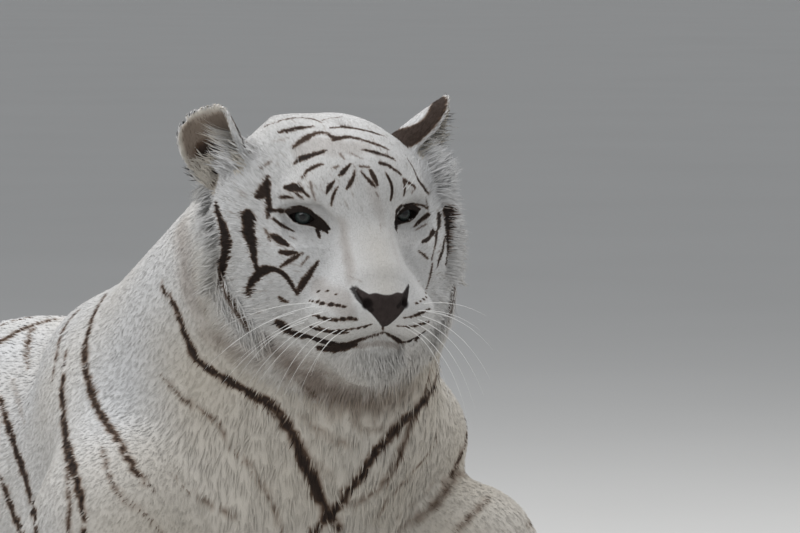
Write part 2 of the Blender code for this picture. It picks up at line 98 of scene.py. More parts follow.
d_ = drift
TRUNK = [
    ball((0.05, 0, 0.262), (0.30, 0.200, 0.262), 0.05, coat=(7, 17, 3.6), lie=(-0.8, 0, -0.6)),
    ball((-0.27, d_(-0.27), 0.245), (0.36, 0.212, 0.260), 0.06),
    ball((-0.58, d_(-0.58), 0.235), (0.30, 0.178, 0.235), 0.06),
    ball((-0.50, d_(-0.50), 0.115), (0.34, 0.215, 0.125), 0.06, coat=(9, 24, 4.2)),
    ball((-0.86, d_(-0.86), 0.250), (0.20, 0.158, 0.215), 0.06, lie=(-0.8, 0, -0.7)),
    ball((-0.04, 0, 0.430), (0.16, 0.085, 0.093), 0.06, coat=(7, 17, 3.6), lie=(-1, 0, -0.1)),
    ball((0.27, 0.012, 0.340), (0.135, 0.165, 0.190), 0.06, coat=(9, 24, 3.6), lie=(-0.15, 0, -1)),
    ball((0.335, 0.01, 0.330), (0.075, 0.110, 0.165), 0.06, coat=(13, 32, 4.0), lie=(-0.05, 0, -1)),
    limb((0.02, -0.090, 0.472), (0.23, -0.165, 0.315), 0.062, 0.092, 0.05, coat=(6, 14, 3.2), lie=(-0.55, -0.1, -0.8)),
    limb((0.04, 0.088, 0.472), (0.262, 0.178, 0.386), 0.062, 0.090, 0.05, coat=(6, 14, 3.2), lie=(-0.55, 0.1, -0.8)),
    limb((0.07, 0, 0.400), (0.340, -0.008, 0.585), 0.176, 0.150, 0.06, coat=(7, 18, 3.4), lie=(-0.75, 0, -0.65)),
    limb((0.308, 0.044, 0.450), (0.374, 0.030, 0.560), 0.154, 0.128, 0.05, coat=(11, 28, 3.8), lie=(-0.30, 0, -1)),
    limb((-1.00, d_(-1.00), 0.300), (-1.09, d_(-1.05), 0.190), 0.075, 0.052, 0.05),
]


def foreleg(side):
    if side < 0:
        shoulder, elbow, wrist, foot = (0.235, -0.170, 0.300), (0.090, -0.245, 0.105), (0.385, -0.215, 0.060), (0.515, -0.205, 0.050)
    else:
        shoulder, elbow, wrist, foot = (0.326, 0.232, 0.236), (0.372, 0.302, 0.128), (0.610, 0.270, 0.062), (0.740, 0.262, 0.050)
    toe_dir = np.array(foot) - np.array(wrist)
    toe_dir /= np.linalg.norm(toe_dir)
    across = np.array((-toe_dir[1], toe_dir[0], 0.0))
    out = [limb(shoulder, elbow, 0.102 if side > 0 else 0.108, 0.080, 0.05, coat=(6, 14, 3.2)),
           limb(elbow, wrist, 0.080, 0.052, 0.04, coat=(5, 12, 3.0)),
           limb(wrist, foot, 0.052, 0.055, 0.03, coat=(3.5, 9, 2.6))]
    for k in (-1.5, -0.5, 0.5, 1.5):
        toe = np.array(foot) + toe_dir * (0.078 - 0.010 * abs(k) ** 1.5) + across * 0.0265 * k
        toe[2] = 0.032
        knuckle = np.array(foot) + toe_dir * 0.025 + across * 0.021 * k
        knuckle[2] = 0.052
        out.append(limb(knuckle, toe, 0.023, 0.0235, 0.012, coat=(2.5, 7, 2.4)))
    return out


def hindleg(side):
    y0 = float(drift(-0.85))
    hip, knee = (-0.84, y0 + side * 0.085, 0.270), (-0.585, y0 + side * 0.185, 0.185)
    hock, foot = (-0.900, y0 + side * 0.195, 0.062), (-0.660, y0 + side * 0.235, 0.044)
    out = [limb(hip, knee, 0.150, 0.092, 0.05, coat=(7, 18, 3.8), lie=(-0.3, 0, -1)),
           limb(knee, hock, 0.082, 0.050, 0.04, coat=(5, 13, 3.2)),
           limb(hock, foot, 0.047, 0.047, 0.03, coat=(4, 10, 2.8))]
    toe_dir = np.array(foot) - np.array(hock)
    toe_dir[2] = 0
    toe_dir /= np.linalg.norm(toe_dir)
    across = np.array((-toe_dir[1], toe_dir[0], 0.0))
    for k in (-1.5, -0.5, 0.5, 1.5):
        toe = np.array(foot) + toe_dir * (0.075 - 0.009 * abs(k) ** 1.5) + across * 0.024 * k
        toe[2] = 0.029
        knuckle = np.array(foot) + toe_dir * 0.022 + across * 0.019 * k
        knuckle[2] = 0.046
        out.append(limb(knuckle, toe, 0.021, 0.021, 0.012, coat=(2.5, 7, 2.4)))
    return out


def tail_path(n):
    start = np.array((-1.045, float(drift(-1.03)), 0.235))
    keys = np.array([start, start + (-0.085, 0.005, -0.115), start + (-0.165, 0.030, -0.190), start + (-0.255, 0.095, -0.197),
                     start + (-0.300, 0.205, -0.199), start + (-0.270, 0.330, -0.201), start + (-0.170, 0.420, -0.203),
                     start + (-0.040, 0.455, -0.204)])
    out = []
    for v in np.linspace(0, len(keys) - 1, n):
        i = min(int(v), len(keys) - 2)
        f = v - i
        p0, p1, p2, p3 = keys[max(i - 1, 0)], keys[i], keys[i + 1], keys[min(i + 2, len(keys) - 1)]
        out.append(0.5 * (2 * p1 + (p2 - p0) * f + (2 * p0 - 5 * p1 + 4 * p2 - p3) * f * f + (3 * p1 - p0 - 3 * p2 + p3) * f ** 3))
    return np.array(out)


TP = tail_path(17)
TR = np.linspace(0.050, 0.030, 17)
TR[-1] = 0.020
TAIL = [limb(TP[i], TP[i + 1], TR[i], TR[i + 1], 0.010, coat=(6, 18, 3.4)) for i in range(16)]

HEAD = [
    ball(hp(-0.088, 0, 0.010), (0.112, 0.102, 0.097), 0.03, HEAD_ROT, (3.2, 9, 2.3), None),
    ball(hp(-0.044, 0, 0.024), (0.080, 0.080, 0.062), 0.03, HEAD_ROT, (2.2, 7, 2.0), None),
    limb(hp(-0.026, 0, 0.016), hp(0.058, 0, -0.064), 0.047, 0.037, 0.025, (1.5, 4.5, 1.5), "head"),
    ball(hp(0.034, 0, -0.092), (0.066, 0.062, 0.048), 0.03, HEAD_ROT, (1.8, 5.5, 1.6), None),
    limb(hp(0.046, 0, -0.140), hp(-0.02, 0, -0.138), 0.037, 0.050, 0.018, (3.0, 9, 2.0), "head"),
    ball(hp(0.052, 0, -0.154), (0.036, 0.043, 0.036), 0.012, HEAD_ROT, (12, 17, 2.6), None),
    ball(hp(-0.065, 0, -0.105), (0.085, 0.095, 0.075), 0.04, HEAD_ROT, (9, 24, 3.2), None),
    ball(hp(0.091, 0, -0.088), (0.020, 0.030, 0.024), 0.012, HEAD_ROT, (1.0, 3.5, 1.4), None),
]
for s in (-1, 1):
    HEAD += [
        ball(hp(0.052, s * 0.037, -0.102), (0.050, 0.039, 0.033), 0.016, HEAD_ROT, (1.8, 5.5, 1.6), None),
        ball(hp(-0.036, s * 0.066, -0.050), (0.066, 0.052, 0.058), 0.03, HEAD_ROT, (2.6, 8.5, 2.1), None),
        ball(hp(-0.074, s * 0.094, -0.038), (0.058, 0.056, 0.106), 0.03, HEAD_ROT, (8, 22, 2.9), None),
        ball(hp(-0.062, s * 0.087, -0.122), (0.060, 0.052, 0.062), 0.03, HEAD_ROT, (11, 29, 3.1), None),
        ball(hp(-0.016, s * 0.048, 0.026), (0.034, 0.034, 0.018), 0.016, HEAD_ROT, (2.2, 6.5, 1.9), None),
        limb(hp(0.034, s * 0.020, -0.134), hp(-0.052, s * 0.074, -0.118), 0.031, 0.042, 0.022, (4, 12, 2.4), "head"),
    ]
HEAD += [
    limb(hp(-0.090, -0.060, 0.049), hp(-0.106, -0.095, 0.038), 0.056, 0.032, 0.025, (4, 11, 2.4), "head"),
    limb(hp(-0.090, 0.050, 0.020), hp(-0.100, 0.100, 0.014), 0.046, 0.040, 0.025, (6, 14, 2.4), "head"),
]
LEGS = [foreleg(-1), foreleg(1), hindleg(-1), hindleg(1)]
HOLLOWS = [(hp(0.008, s * 0.0660, -0.001), np.array((0.021, 0.0235, 0.0165)), rot(HEAD_YAW, HEAD_PITCH) @ rot(s * 24.0), 0.012)
           for s in (-1, 1)]

# the shift that centred the solids on their footprint, read back from the eyes
eye_mid = sum(np.array(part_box("eye_right")) + np.array(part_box("eye_left")))/4.0
SHIFT = eye_mid - (hp(EYE_BACK, 0, 0) - np.array((0, 0, SINK)))
OUT = SHIFT - np.array((0, 0, SINK))          # modelled frame -> frame of the solids


def near_points(p, lo, hi):
    return np.flatnonzero(((p > lo) & (p < hi)).all(1))


def mass_distance(m, p):
    if m[0] == "ball":
        q = (p - m[1]) @ m[3]
        k0 = np.sqrt(((q / m[2]) ** 2).sum(1))
        k1 = np.sqrt(((q / m[2] ** 2) ** 2).sum(1))
        return k0 * (k0 - 1.0) / np.maximum(k1, 1e-9)
    a, b = m[1], m[2]
    ab = b - a
    t = np.clip((p - a) @ ab / (ab @ ab), 0.0, 1.0)
    q = p - a - t[:, None] * ab
    return np.sqrt((q * q).sum(1)) - (m[3][0] + (m[3][1] - m[3][0]) * t)


def mass_box(m, margin):
    if m[0] == "ball":
        r = np.sqrt(((m[3] * m[2]) ** 2).sum(1))
        return m[1] - r - margin, m[1] + r + margin
    r = max(m[3]) + margin
    return np.minimum(m[1], m[2]) - r, np.maximum(m[1], m[2]) + r


def blend(a, b, k):
    h = np.maximum(k - np.abs(a - b), 0.0) / k
    return np.minimum(a, b) - h * h * k * 0.25


def carve(a, b, k):
    return -blend(-a, b, k)


MARGIN = 0.075


def blended(masses, p):
    d = np.full(len(p), 5.0)
    for m in masses:
        i = near_points(p, *mass_box(m, MARGIN))
        if len(i):
            d[i] = blend(d[i], mass_distance(m, p[i]), m[4])
    return d


# ------------------------------------------------------------------ ears
def ear_frame(side):
    up = HEAD_ROT @ rot(0, 0, -side * EAR_LEAN[side]) @ np.array((EAR_PITCH[side], 0.0, 1.0))
    up /= np.linalg.norm(up)
    face = HEAD_ROT @ rot(side * EAR_TURN[side]) @ np.array((1.0, 0.0, 0.18))
    face -= up * (face @ up)
    face /= np.linalg.norm(face)
    return hp(*EAR_ROOT[side]), up, face, np.cross(up, face)


EARS = {s: ear_frame(s) for s in (-1, 1)}


def ear_arc(u):
    return 0.066 * np.sqrt(np.maximum(1.0 - (np.maximum(u - 0.42, 0) / 0.60) ** 2.6, 0.012)) * (0.80 + 0.20 * np.minimum(u / 0.42, 1.0))


def ear_place(side, u, v):
    root, up, face, across = EARS[side]
    radius = EAR_RADIUS[side] * (0.80 + 0.20 * np.minimum(u / 0.5, 1.0))
    phi = v * ear_arc(u) / radius
    return (root + up * (EAR_HEIGHT[side] * u - 0.010)[:, None] + across * (radius * np.sin(phi))[:, None]
            + face * (radius * (1 - np.cos(phi)) * 0.92 - 0.020 + 0.008 * u * u)[:, None])


def ear_coords(side, p):
    root, up, face, across = EARS[side]
    q = p - root
    u = (q @ up + 0.010) / EAR_HEIGHT[side]
    s = q @ across
    f = (q @ face + 0.020 - 0.008 * np.clip(u, 0, 1) ** 2) / 0.92
    radius = EAR_RADIUS[side] * (0.80 + 0.20 * np.clip(u / 0.5, 0, 1))
    rho = np.hypot(s, radius - f)
    phi = np.arctan2(s, radius - f)
    return u, phi, rho, radius


def ear_distance(side, p, thick=0.0085):
    u, phi, rho, radius = ear_coords(side, p)
    shell = np.abs(rho - radius) - thick / 2
    arc = np.abs(phi) * radius - ear_arc(np.clip(u, 0, 1.03)) + 0.002
    arc = np.maximum(arc, (u - 1.0) * EAR_HEIGHT[side])
    arc = np.maximum(arc, (-0.06 - u) * EAR_HEIGHT[side])
    d = -blend(-shell, -arc, 0.006)
    return d


def outline_distance(p):
    """Signed distance to the outline of the coat, ears included."""
    d = blended(TRUNK, p)
    lo, hi = np.array((0.22, -0.33, 0.36)), np.array((0.72, 0.30, 0.92))
    i = near_points(p, lo, hi)
    if len(i):
        q = p[i]
        h = blended(HEAD, q)
        for s in (-1, 1):
            c = EARS[s][0]
            j = near_points(q, c - 0.14, c + 0.16)
            if len(j):
                h[j] = blend(h[j], ear_distance(s, q[j]), 0.010)
        d[i] = blend(d[i], h, 0.045)
    for leg in LEGS:
        d = blend(d, blended(leg, p), 0.035)
    d = blend(d, blended(TAIL, p), 0.02)
    return d


# ------------------------------------------------------------------ the camera's place, used for framing
TH, EL, DIST, PX = math.radians(30.0), math.radians(4.0), 6.5, 0.00115
BACK = np.array((math.cos(TH) * math.cos(EL), -math.sin(TH) * math.cos(EL), math.sin(EL)))
RIGHT = np.array((math.sin(TH), math.cos(TH), 0.0))
UP = np.cross(BACK, RIGHT)
EYES_AT = (353.5, 215.0)
AIM = hp(-0.010, 0, 0) + RIGHT * (400 - EYES_AT[0]) * PX - UP * (266.5 - EYES_AT[1]) * PX
CAM = AIM + BACK * DIST


def sight_ray(x, y):
    d = -BACK * DIST + RIGHT * (x - 400) * PX - UP * (y - 266.5) * PX
    return d / np.linalg.norm(d)


def onto_outline(xy, fn=None):
    """Points of the coat outline, or of another shape, seen at the given places of the 800 x 533 picture plane."""
    fn = fn or outline_distance
    xy = np.asarray(xy, float)
    rays = np.array([sight_ray(*q) for q in xy])
    t = np.full(len(rays), DIST - 1.3)
    for _ in range(70):
        dist = fn(CAM + rays * t[:, None])
        t = np.where(dist < 2.0, t + np.clip(dist, -0.02, 0.06) * 0.8, t + 0.05)
        t = np.minimum(t, DIST + 1.5)
    return CAM + rays * t[:, None]


def slope(fn, p, e=0.0008):
    dirs = np.array(((1, 1, 1), (1, -1, -1), (-1, 1, -1), (-1, -1, 1)), float)
    vals = [fn(p + e * v) for v in dirs]
    g = sum(v[:, None] * w for v, w in zip(vals, dirs)) / (4 * e)
    return sum(vals) / 4.0, g


def settle(fn, p, steps, level=0.0, clip=0.012):
    for _ in range(steps):
        d, g = slope(fn, p)
        g2 = np.maximum((g * g).sum(1), 0.2)
        p = p - np.clip((d - level) / g2, -clip, clip)[:, None] * g
    return p


def to_head(p):
    return (p - HEAD_ORIGIN) @ HEAD_ROT


# ------------------------------------------------------------------ eyes, nose, mouth in the skin
GAZE_OUT = 20.0
EYE_FRAMES = {}
for s in (-1, 1):
    g = HEAD_ROT @ rot(s * GAZE_OUT, -1.0) @ np.array((1.0, 0, 0))
    up_ = HEAD_ROT @ np.array((0.0, 0, 1.0))
    up_ -= g * (g @ up_)
    up_ /= np.linalg.norm(up_)
    inner = np.cross(up_, g) * (-s) * -1.0
    if (inner @ (HEAD_ROT @ np.array((0, -s, 0)))) < 0:
        inner = -inner
    EYE_FRAMES[s] = (hp(EYE_BACK, s * EYE_SPREAD, 0.0), g, inner, up_)

# the dark rims of the lids with the tear line, and the narrower opening between them (mm from the eye's axis)
LID_U = np.array((-20.5, -16.5, -12.0, -4.0, 5.0, 12.0, 17.0, 23.0, 28.5)) / 1000
LID_UP = np.array((4.8, 6.8, 8.8, 10.1, 8.0, 3.0, -1.6, -6.8, -11.6)) / 1000
LID_LO = np.array((4.2, -0.6, -5.2, -8.2, -9.0, -10.6, -13.2, -14.2, -13.2)) / 1000
OPEN_U = np.array((-15.5, -12.0, -7.0, -2.0, 3.0, 7.5, 11.5)) / 1000
OPEN_UP = np.array((0.6, 2.4, 3.9, 4.4, 3.6, 1.0, -2.8)) / 1000
OPEN_LO = np.array((0.6, -4.0, -6.6, -7.6, -7.4, -6.4, -3.6)) / 1000


# hollows at the inner corner, along the tear line, and below the lower lid: (from, to, radius), mm from the eye's centre
CORNERS = [((13, 1, 37), (27, -9, 47), 0.0125), ((-9, -15, 41), (13, -16, 42), 0.0105)]


def eye_coords(side, p):
    c, g, inner, up_ = EYE_FRAMES[side]
    q = p - c
    return q @ inner, q @ up_, q @ g


def lid_distance(side, p):
    """Distance outside the opening between the lids, seen along the gaze."""
    u, v, w = eye_coords(side, p)
    uu = np.clip(u, OPEN_U[0], OPEN_U[-1])
    dv = np.maximum(v - np.interp(uu, OPEN_U, OPEN_UP), np.interp(uu, OPEN_U, OPEN_LO) - v) * 0.85
    du = np.maximum(np.abs(u + 0.002) - 0.0135, 0.0)
    return np.where(du > 0, np.hypot(np.maximum(dv, 0), du), dv), w


def rim_distance(side, p):
    """Distance outside the dark rims of the lids, seen along the gaze."""
    u, v, w = eye_coords(side, p)
    uu = np.clip(u, LID_U[0], LID_U[-1])
    dv = np.maximum(v - np.interp(uu, LID_U, LID_UP), np.interp(uu, LID_U, LID_LO) - v) * 0.85
    du = np.maximum(np.abs(u - 0.004) - 0.0245, 0.0)
    return np.where(du > 0, np.hypot(np.maximum(dv, 0), du), dv), w


NOSE_Z = np.array((-0.1125, -0.109, -0.1045, -0.098, -0.090, -0.082, -0.0755, -0.0700, -0.0650))
NOSE_W = np.array((0.0, 0.0045, 0.0085, 0.0145, 0.0220, 0.0275, 0.0305, 0.0325, 0.0330))


def leather(h):
    """Positive inside the nose leather, from head coordinates; metres."""
    half = np.interp(h[:, 2], NOSE_Z, NOSE_W, left=-0.02, right=-0.02)
    side = half - np.abs(h[:, 1])
    y = np.abs(h[:, 1])
    top = -0.0725 + 0.0020 * np.exp(-((y - 0.013) / 0.006) ** 2) + 0.0075 * np.clip((y - 0.020) / 0.012, 0, 1) - h[:, 2]
    return np.minimum(np.minimum(side, top), (h[:, 0] - 0.070) * 0.5)


def nearest_on(path, p):
    """Distance from points to a path of 3-D points."""
    best = np.full(len(p), 9.0)
    for a, b in zip(path[:-1], path[1:]):
        ab = b - a
        t = np.clip((p - a) @ ab / max(ab @ ab, 1e-12), 0, 1)
        q = p - a - t[:, None] * ab
        best = np.minimum(best, (q * q).sum(1))
    return np.sqrt(best)


MOUTH_PX = [(383, 334), (374, 336.5), (363, 339.5), (351, 344), (339, 349), (328, 351), (314, 347), (300, 339), (288, 331)]
mouth_near = onto_outline(MOUTH_PX)
mh = to_head(mouth_near)
mh[0, 1] = 0.0
mouth_far = mh * (1, -1, 1)
MOUTH = [np.array([hp(*q) for q in m]) for m in (mh, mouth_far)]
PHILTRUM = onto_outline([(384, 322), (384, 334)])
NOSTRIL = to_head(onto_outline([(367.5, 304)]))[0]
# the wings of the nose, from its upper corners down to the nostrils, whose slits are painted black as painted shade
WING_NEAR = onto_outline([(352.5, 288.5), (357.5, 297), (365, 304.5), (371, 310)])
WING_FAR = onto_outline([(409, 286), (405, 295.5), (398, 306.5)])
clock("shape functions ready")


# clefts between the toes: each runs from between two knuckles, over the top, down the front of the paw
CLEFTS = []
for leg in LEGS:
    toes = leg[-4:]
    for t_a, t_b in zip(toes[:-1], toes[1:]):
        back_, tip_ = (t_a[1] + t_b[1]) / 2, (t_a[2] + t_b[2]) / 2
        fwd = (tip_ - back_) * (1, 1, 0)
        fwd /= np.linalg.norm(fwd)
        CLEFTS.append(np.array((back_ + (0, 0, 0.022), tip_ + (0, 0, 0.0225) - fwd * 0.006, tip_ + fwd * 0.017 + (0, 0, 0.012), tip_ + fwd * 0.021 - (0, 0, 0.010))))
PAWS = [np.concatenate([c for c in CLEFTS[3 * i:3 * i + 3]]) for i in range(4)]


def skin_distance(p):
    """The skin's own shape: the outline without the coat's depth, with toes, lids, nostrils and mouth."""
    d = outline_distance(p)
    for n_, spots in enumerate(PAWS):
        i = near_points(p, spots.min(0) - 0.02, spots.max(0) + 0.02)
        if len(i):
            for path in CLEFTS[3 * n_:3 * n_ + 3]:
                d[i] = carve(d[i], nearest_on(path, p[i]) - 0.0042, 0.006)
    lo, hi = np.array((0.45, -0.20, 0.44)), np.array((0.70, 0.18, 0.80))
    i = near_points(p, lo, hi)
    if not len(i):
        return d
    q, e = p[i], d[i]
    h = to_head(q)
    for centre, half, turn, k in HOLLOWS:
        c = mass_distance(["ball", centre, half * (0.95, 1.0, 0.95), turn, k], q)
        e = carve(e, c, k)
    for s in (-1, 1):
        c = EYE_FRAMES[s][0]
        ball_d = np.sqrt(((q - c) ** 2).sum(1))
        eq = np.stack(eye_coords(s, q), 1)
        for a_, b_, r_ in CORNERS:
            e = carve(e, nearest_on(np.array((a_, b_)) / 1000, eq) - r_, 0.009)
        e = blend(e, ball_d - (EYE_RADIUS + 0.0034), 0.010)
        lid, w = lid_distance(s, q)
        around_eye = rim_distance(s, q)[0]
        # fold above the upper lid, the brow over it, and the groove of the tear line
        front = np.clip((w - 0.002) / 0.006, 0, 1)
        e = e + 0.0010 * np.exp(-((around_eye - 0.0022) / 0.0016) ** 2) * front * (eye_coords(s, q)[1] > 0)
        e = e + 0.0008 * np.clip((0.001 - around_eye) / 0.002, 0, 1) * front * (eye_coords(s, q)[0] > 0.010)
        e = e - 0.0010 * np.exp(-((lid - 0.0018) / 0.0012) ** 2) * front
        e = carve(e, np.maximum(np.maximum(lid, EYE_RADIUS - 0.0026 - ball_d), -w), 0.0012)
        # nostril: a round hole with a slit running out and back
        n = np.array((NOSTRIL[0], s * abs(NOSTRIL[1]), NOSTRIL[2]))
        hole = np.sqrt((((h - (n + (0.001, 0, 0.000))) / (1.5, 1.0, 1.15)) ** 2).sum(1)) - 0.0048
        slit_a, slit_b = n + (0.001, s * 0.003, 0.000), n + (-0.014, s * 0.0150, 0.0125)
        slit = nearest_on(np.array((slit_a, slit_b)), h) - 0.0028
        e = carve(e, blend(hole, slit, 0.003), 0.002)
        # wing of the nose and the dip before the whisker pad
        e = e + 0.0018 * np.exp(-(nearest_on(np.array(((0.088, s * 0.029, -0.080), (0.092, s * 0.020, -0.103))), h) / 0.004) ** 2)
        # hollow beside the bridge, under the inner corner of the eye
        e = e + 0.0012 * np.exp(-(((h - (0.040, s * 0.040, -0.040)) / (0.020, 0.012, 0.024)) ** 2).sum(1))
        # rows of whisker roots
        for row in range(4):
            for col in range(6):
                x = 0.084 - 0.0115 * col - 0.003 * row
                z = -0.094 - 0.0088 * row + 0.0006 * col
                e = e - 0.0007 * np.exp(-(((h[:, 0] - x) / 0.0032) ** 2 + ((h[:, 2] - z) / 0.0026) ** 2)) * (h[:, 1] * s > 0.02)
    line = np.minimum(nearest_on(MOUTH[0], q), nearest_on(MOUTH[1], q))
    e = carve(e, line - 0.0036, 0.005)
    e = carve(e, nearest_on(PHILTRUM, q) - 0.0012, 0.003)
    # seam of the leather: the leather stands a little proud of the fur
    inside = leather(h)
    e = e - 0.0008 * np.clip(inside / 0.0015, 0, 1)
    # furrow down the middle of the forehead
    e = e + 0.0022 * np.exp(-(h[:, 1] / 0.008) ** 2) * np.clip((h[:, 2] - 0.02) / 0.03, 0, 1) * np.clip((h[:, 0] + 0.10) / 0.04, 0, 1)
    d[i] = e
    return d


def traits(p):
    """Coat depth, length, width (m) and lie at points, blended from the masses around them."""
    total = np.full(len(p), 1e-9)
    num = np.zeros((len(p), 3))
    lie = np.zeros((len(p), 3))
    muzzle = hp(0.112, 0, -0.070)
    away = p - muzzle
    away /= np.maximum(np.linalg.norm(away, axis=1), 1e-6)[:, None]
    hh = to_head(p)
    # over the cheeks and under the jaw the coat sweeps back and down
    sweep = np.clip((-hh[:, 0] - 0.0) / 0.08, 0, 1) * np.clip((0.03 - hh[:, 2]) / 0.08, 0, 1)
    away = away + sweep[:, None] * (HEAD_ROT @ np.array((-0.2, 0, -0.8)))
    for group in (TRUNK, HEAD, *LEGS, TAIL):
        for m in group:
            i = near_points(p, *mass_box(m, 0.06))
            if not len(i):
                continue
            w = np.exp(-np.maximum(mass_distance(m, p[i]), -0.01) / 0.010)
            total[i] += w
            num[i] += w[:, None] * np.array(m[5]) / 1000
            if m[6] is None or m[6] == "head":
                lie[i] += w[:, None] * away[i]
            else:
                v = np.array(m[6], float)
                lie[i] += w[:, None] * v / np.linalg.norm(v)
    out = num / total[:, None]
    # flat short coat on the body and face, fuller on ruff, throat and breast
    full = np.clip((out[:, 0] - 0.008) / 0.004, 0, 1)
    out[:, 0] *= 0.36 + 0.34 * full
    out[:, 1] *= 0.62 + 0.26 * full
    out[:, 2] *= 0.44 + 0.12 * full
    for s in (-1, 1):
        root, up, face, across = EARS[s]
        j = near_points(p, root - 0.12, root + 0.14)
        if len(j):
            on_ear = np.clip(1.0 - (ear_distance(s, p[j]) + 0.001) / 0.006, 0, 1) * np.clip((ear_coords(s, p[j])[0] - 0.22) / 0.12, 0, 1)
            out[j] = out[j] * (1 - on_ear[:, None]) + on_ear[:, None] * np.array((1.3, 7.0, 1.9)) / 1000
            lie[j] = lie[j] * (1 - on_ear[:, None]) + on_ear[:, None] * (up + 0.15 * across)
    lie /= np.maximum(np.linalg.norm(lie, axis=1), 1e-6)[:, None]
    return out[:, 0], out[:, 1], out[:, 2], lie


# ------------------------------------------------------------------ one net for the whole skin
def even_net():
    """A closed net around all the masses, ears thickened so that the net takes them in."""
    unit = bmesh.new()
    bmesh.ops.create_icosphere(unit, subdivisions=3, radius=1.0)
    uv_ = np.array([w.co[:] for w in unit.verts])
    uf_ = np.array([[w.index for w in t.verts] for t in unit.faces])
    unit.free()
    vs, fs = [], []

    def put(centre, half, turn):
        fs.append(uf_ + len(vs) * len(uv_))
        vs.append(np.asarray(centre) + (uv_ * half) @ np.asarray(turn).T)

    for group in (TRUNK, HEAD, *LEGS, TAIL):
        for m in group:
            if m[0] == "ball":
                put(m[1], m[2], m[3])
            else:
                n = max(2, int(np.linalg.norm(m[2] - m[1]) / (0.40 * min(m[3]))) + 1)
                for t in np.linspace(0, 1, n):
                    put(m[1] + (m[2] - m[1]) * t, np.full(3, m[3][0] + (m[3][1] - m[3][0]) * t), np.eye(3))
    for s in (-1, 1):
        for u in np.linspace(0.0, 0.97, 10):
            for v in np.linspace(-0.95, 0.95, 9):
                put(ear_place(s, np.array([u]), np.array([v]))[0], np.full(3, 0.0105), np.eye(3))
    vs, fs = np.concatenate(vs), np.concatenate(fs)
    mesh = bpy.data.meshes.new("net")
    mesh.vertices.add(len(vs))
    mesh.vertices.foreach_set("co", vs.ravel().astype(np.float32))
    mesh.loops.add(fs.size)
    mesh.loops.foreach_set("vertex_index", fs.ravel().astype(np.int32))
    mesh.polygons.add(len(fs))
    mesh.polygons.foreach_set("loop_start", np.arange(0, fs.size, 3, dtype=np.int32))
    mesh.update(calc_edges=True)
    obj = bpy.data.objects.new("net", mesh)
    bpy.context.scene.collection.objects.link(obj)
    mod = obj.modifiers.new("join", "REMESH")
    mod.mode, mod.voxel_size = "VOXEL", 0.0105
    deps = bpy.context.evaluated_depsgraph_get()
    net = bpy.data.meshes.new_from_object(obj.evaluated_get(deps))
    v = np.empty(len(net.vertices) * 3)
    net.vertices.foreach_get("co", v)
    v = v.reshape(-1, 3)
    n = len(net.polygons)
    start, total = np.empty(n, int), np.empty(n, int)
    net.polygons.foreach_get("loop_start", start)
    net.polygons.foreach_get("loop_total", total)
    loops = np.empty(len(net.loops), int)
    net.loops.foreach_get("vertex_index", loops)
    q = loops[start[total == 4][:, None] + np.arange(4)]
    t = loops[start[total == 3][:, None] + np.arange(3)]
    short = ((v[q[:, 0]] - v[q[:, 2]]) ** 2).sum(1) < ((v[q[:, 1]] - v[q[:, 3]]) ** 2).sum(1)
    a = np.concatenate((q[short][:, [0, 1, 2]], q[short][:, [0, 2, 3]], q[~short][:, [0, 1, 3]], q[~short][:, [1, 2, 3]], t))
    bpy.data.objects.remove(obj)
    bpy.data.meshes.remove(mesh)
    bpy.data.meshes.remove(net)
    return v, a


def edges_of(f, n):
    e = np.sort(np.concatenate((f[:, [0, 1]], f[:, [1, 2]], f[:, [2, 0]])), axis=1)
    key, inv = np.unique(e[:, 0] * n + e[:, 1], return_inverse=True)
    return np.stack((key // n, key % n), 1), inv.reshape(3, -1).T


def smooth(v, f, amount=0.5, fixed=None):
    e, _ = edges_of(f, len(v))
    a = np.concatenate((e[:, 0], e[:, 1]))
    b = np.concatenate((e[:, 1], e[:, 0]))
    count = np.bincount(a, minlength=len(v))
    mean = np.stack([np.bincount(a, v[b, k], minlength=len(v)) for k in range(3)], 1) / np.maximum(count, 1)[:, None]
    step = amount * (mean - v)
    if fixed is not None:
        step[fixed] = 0
    return v + step


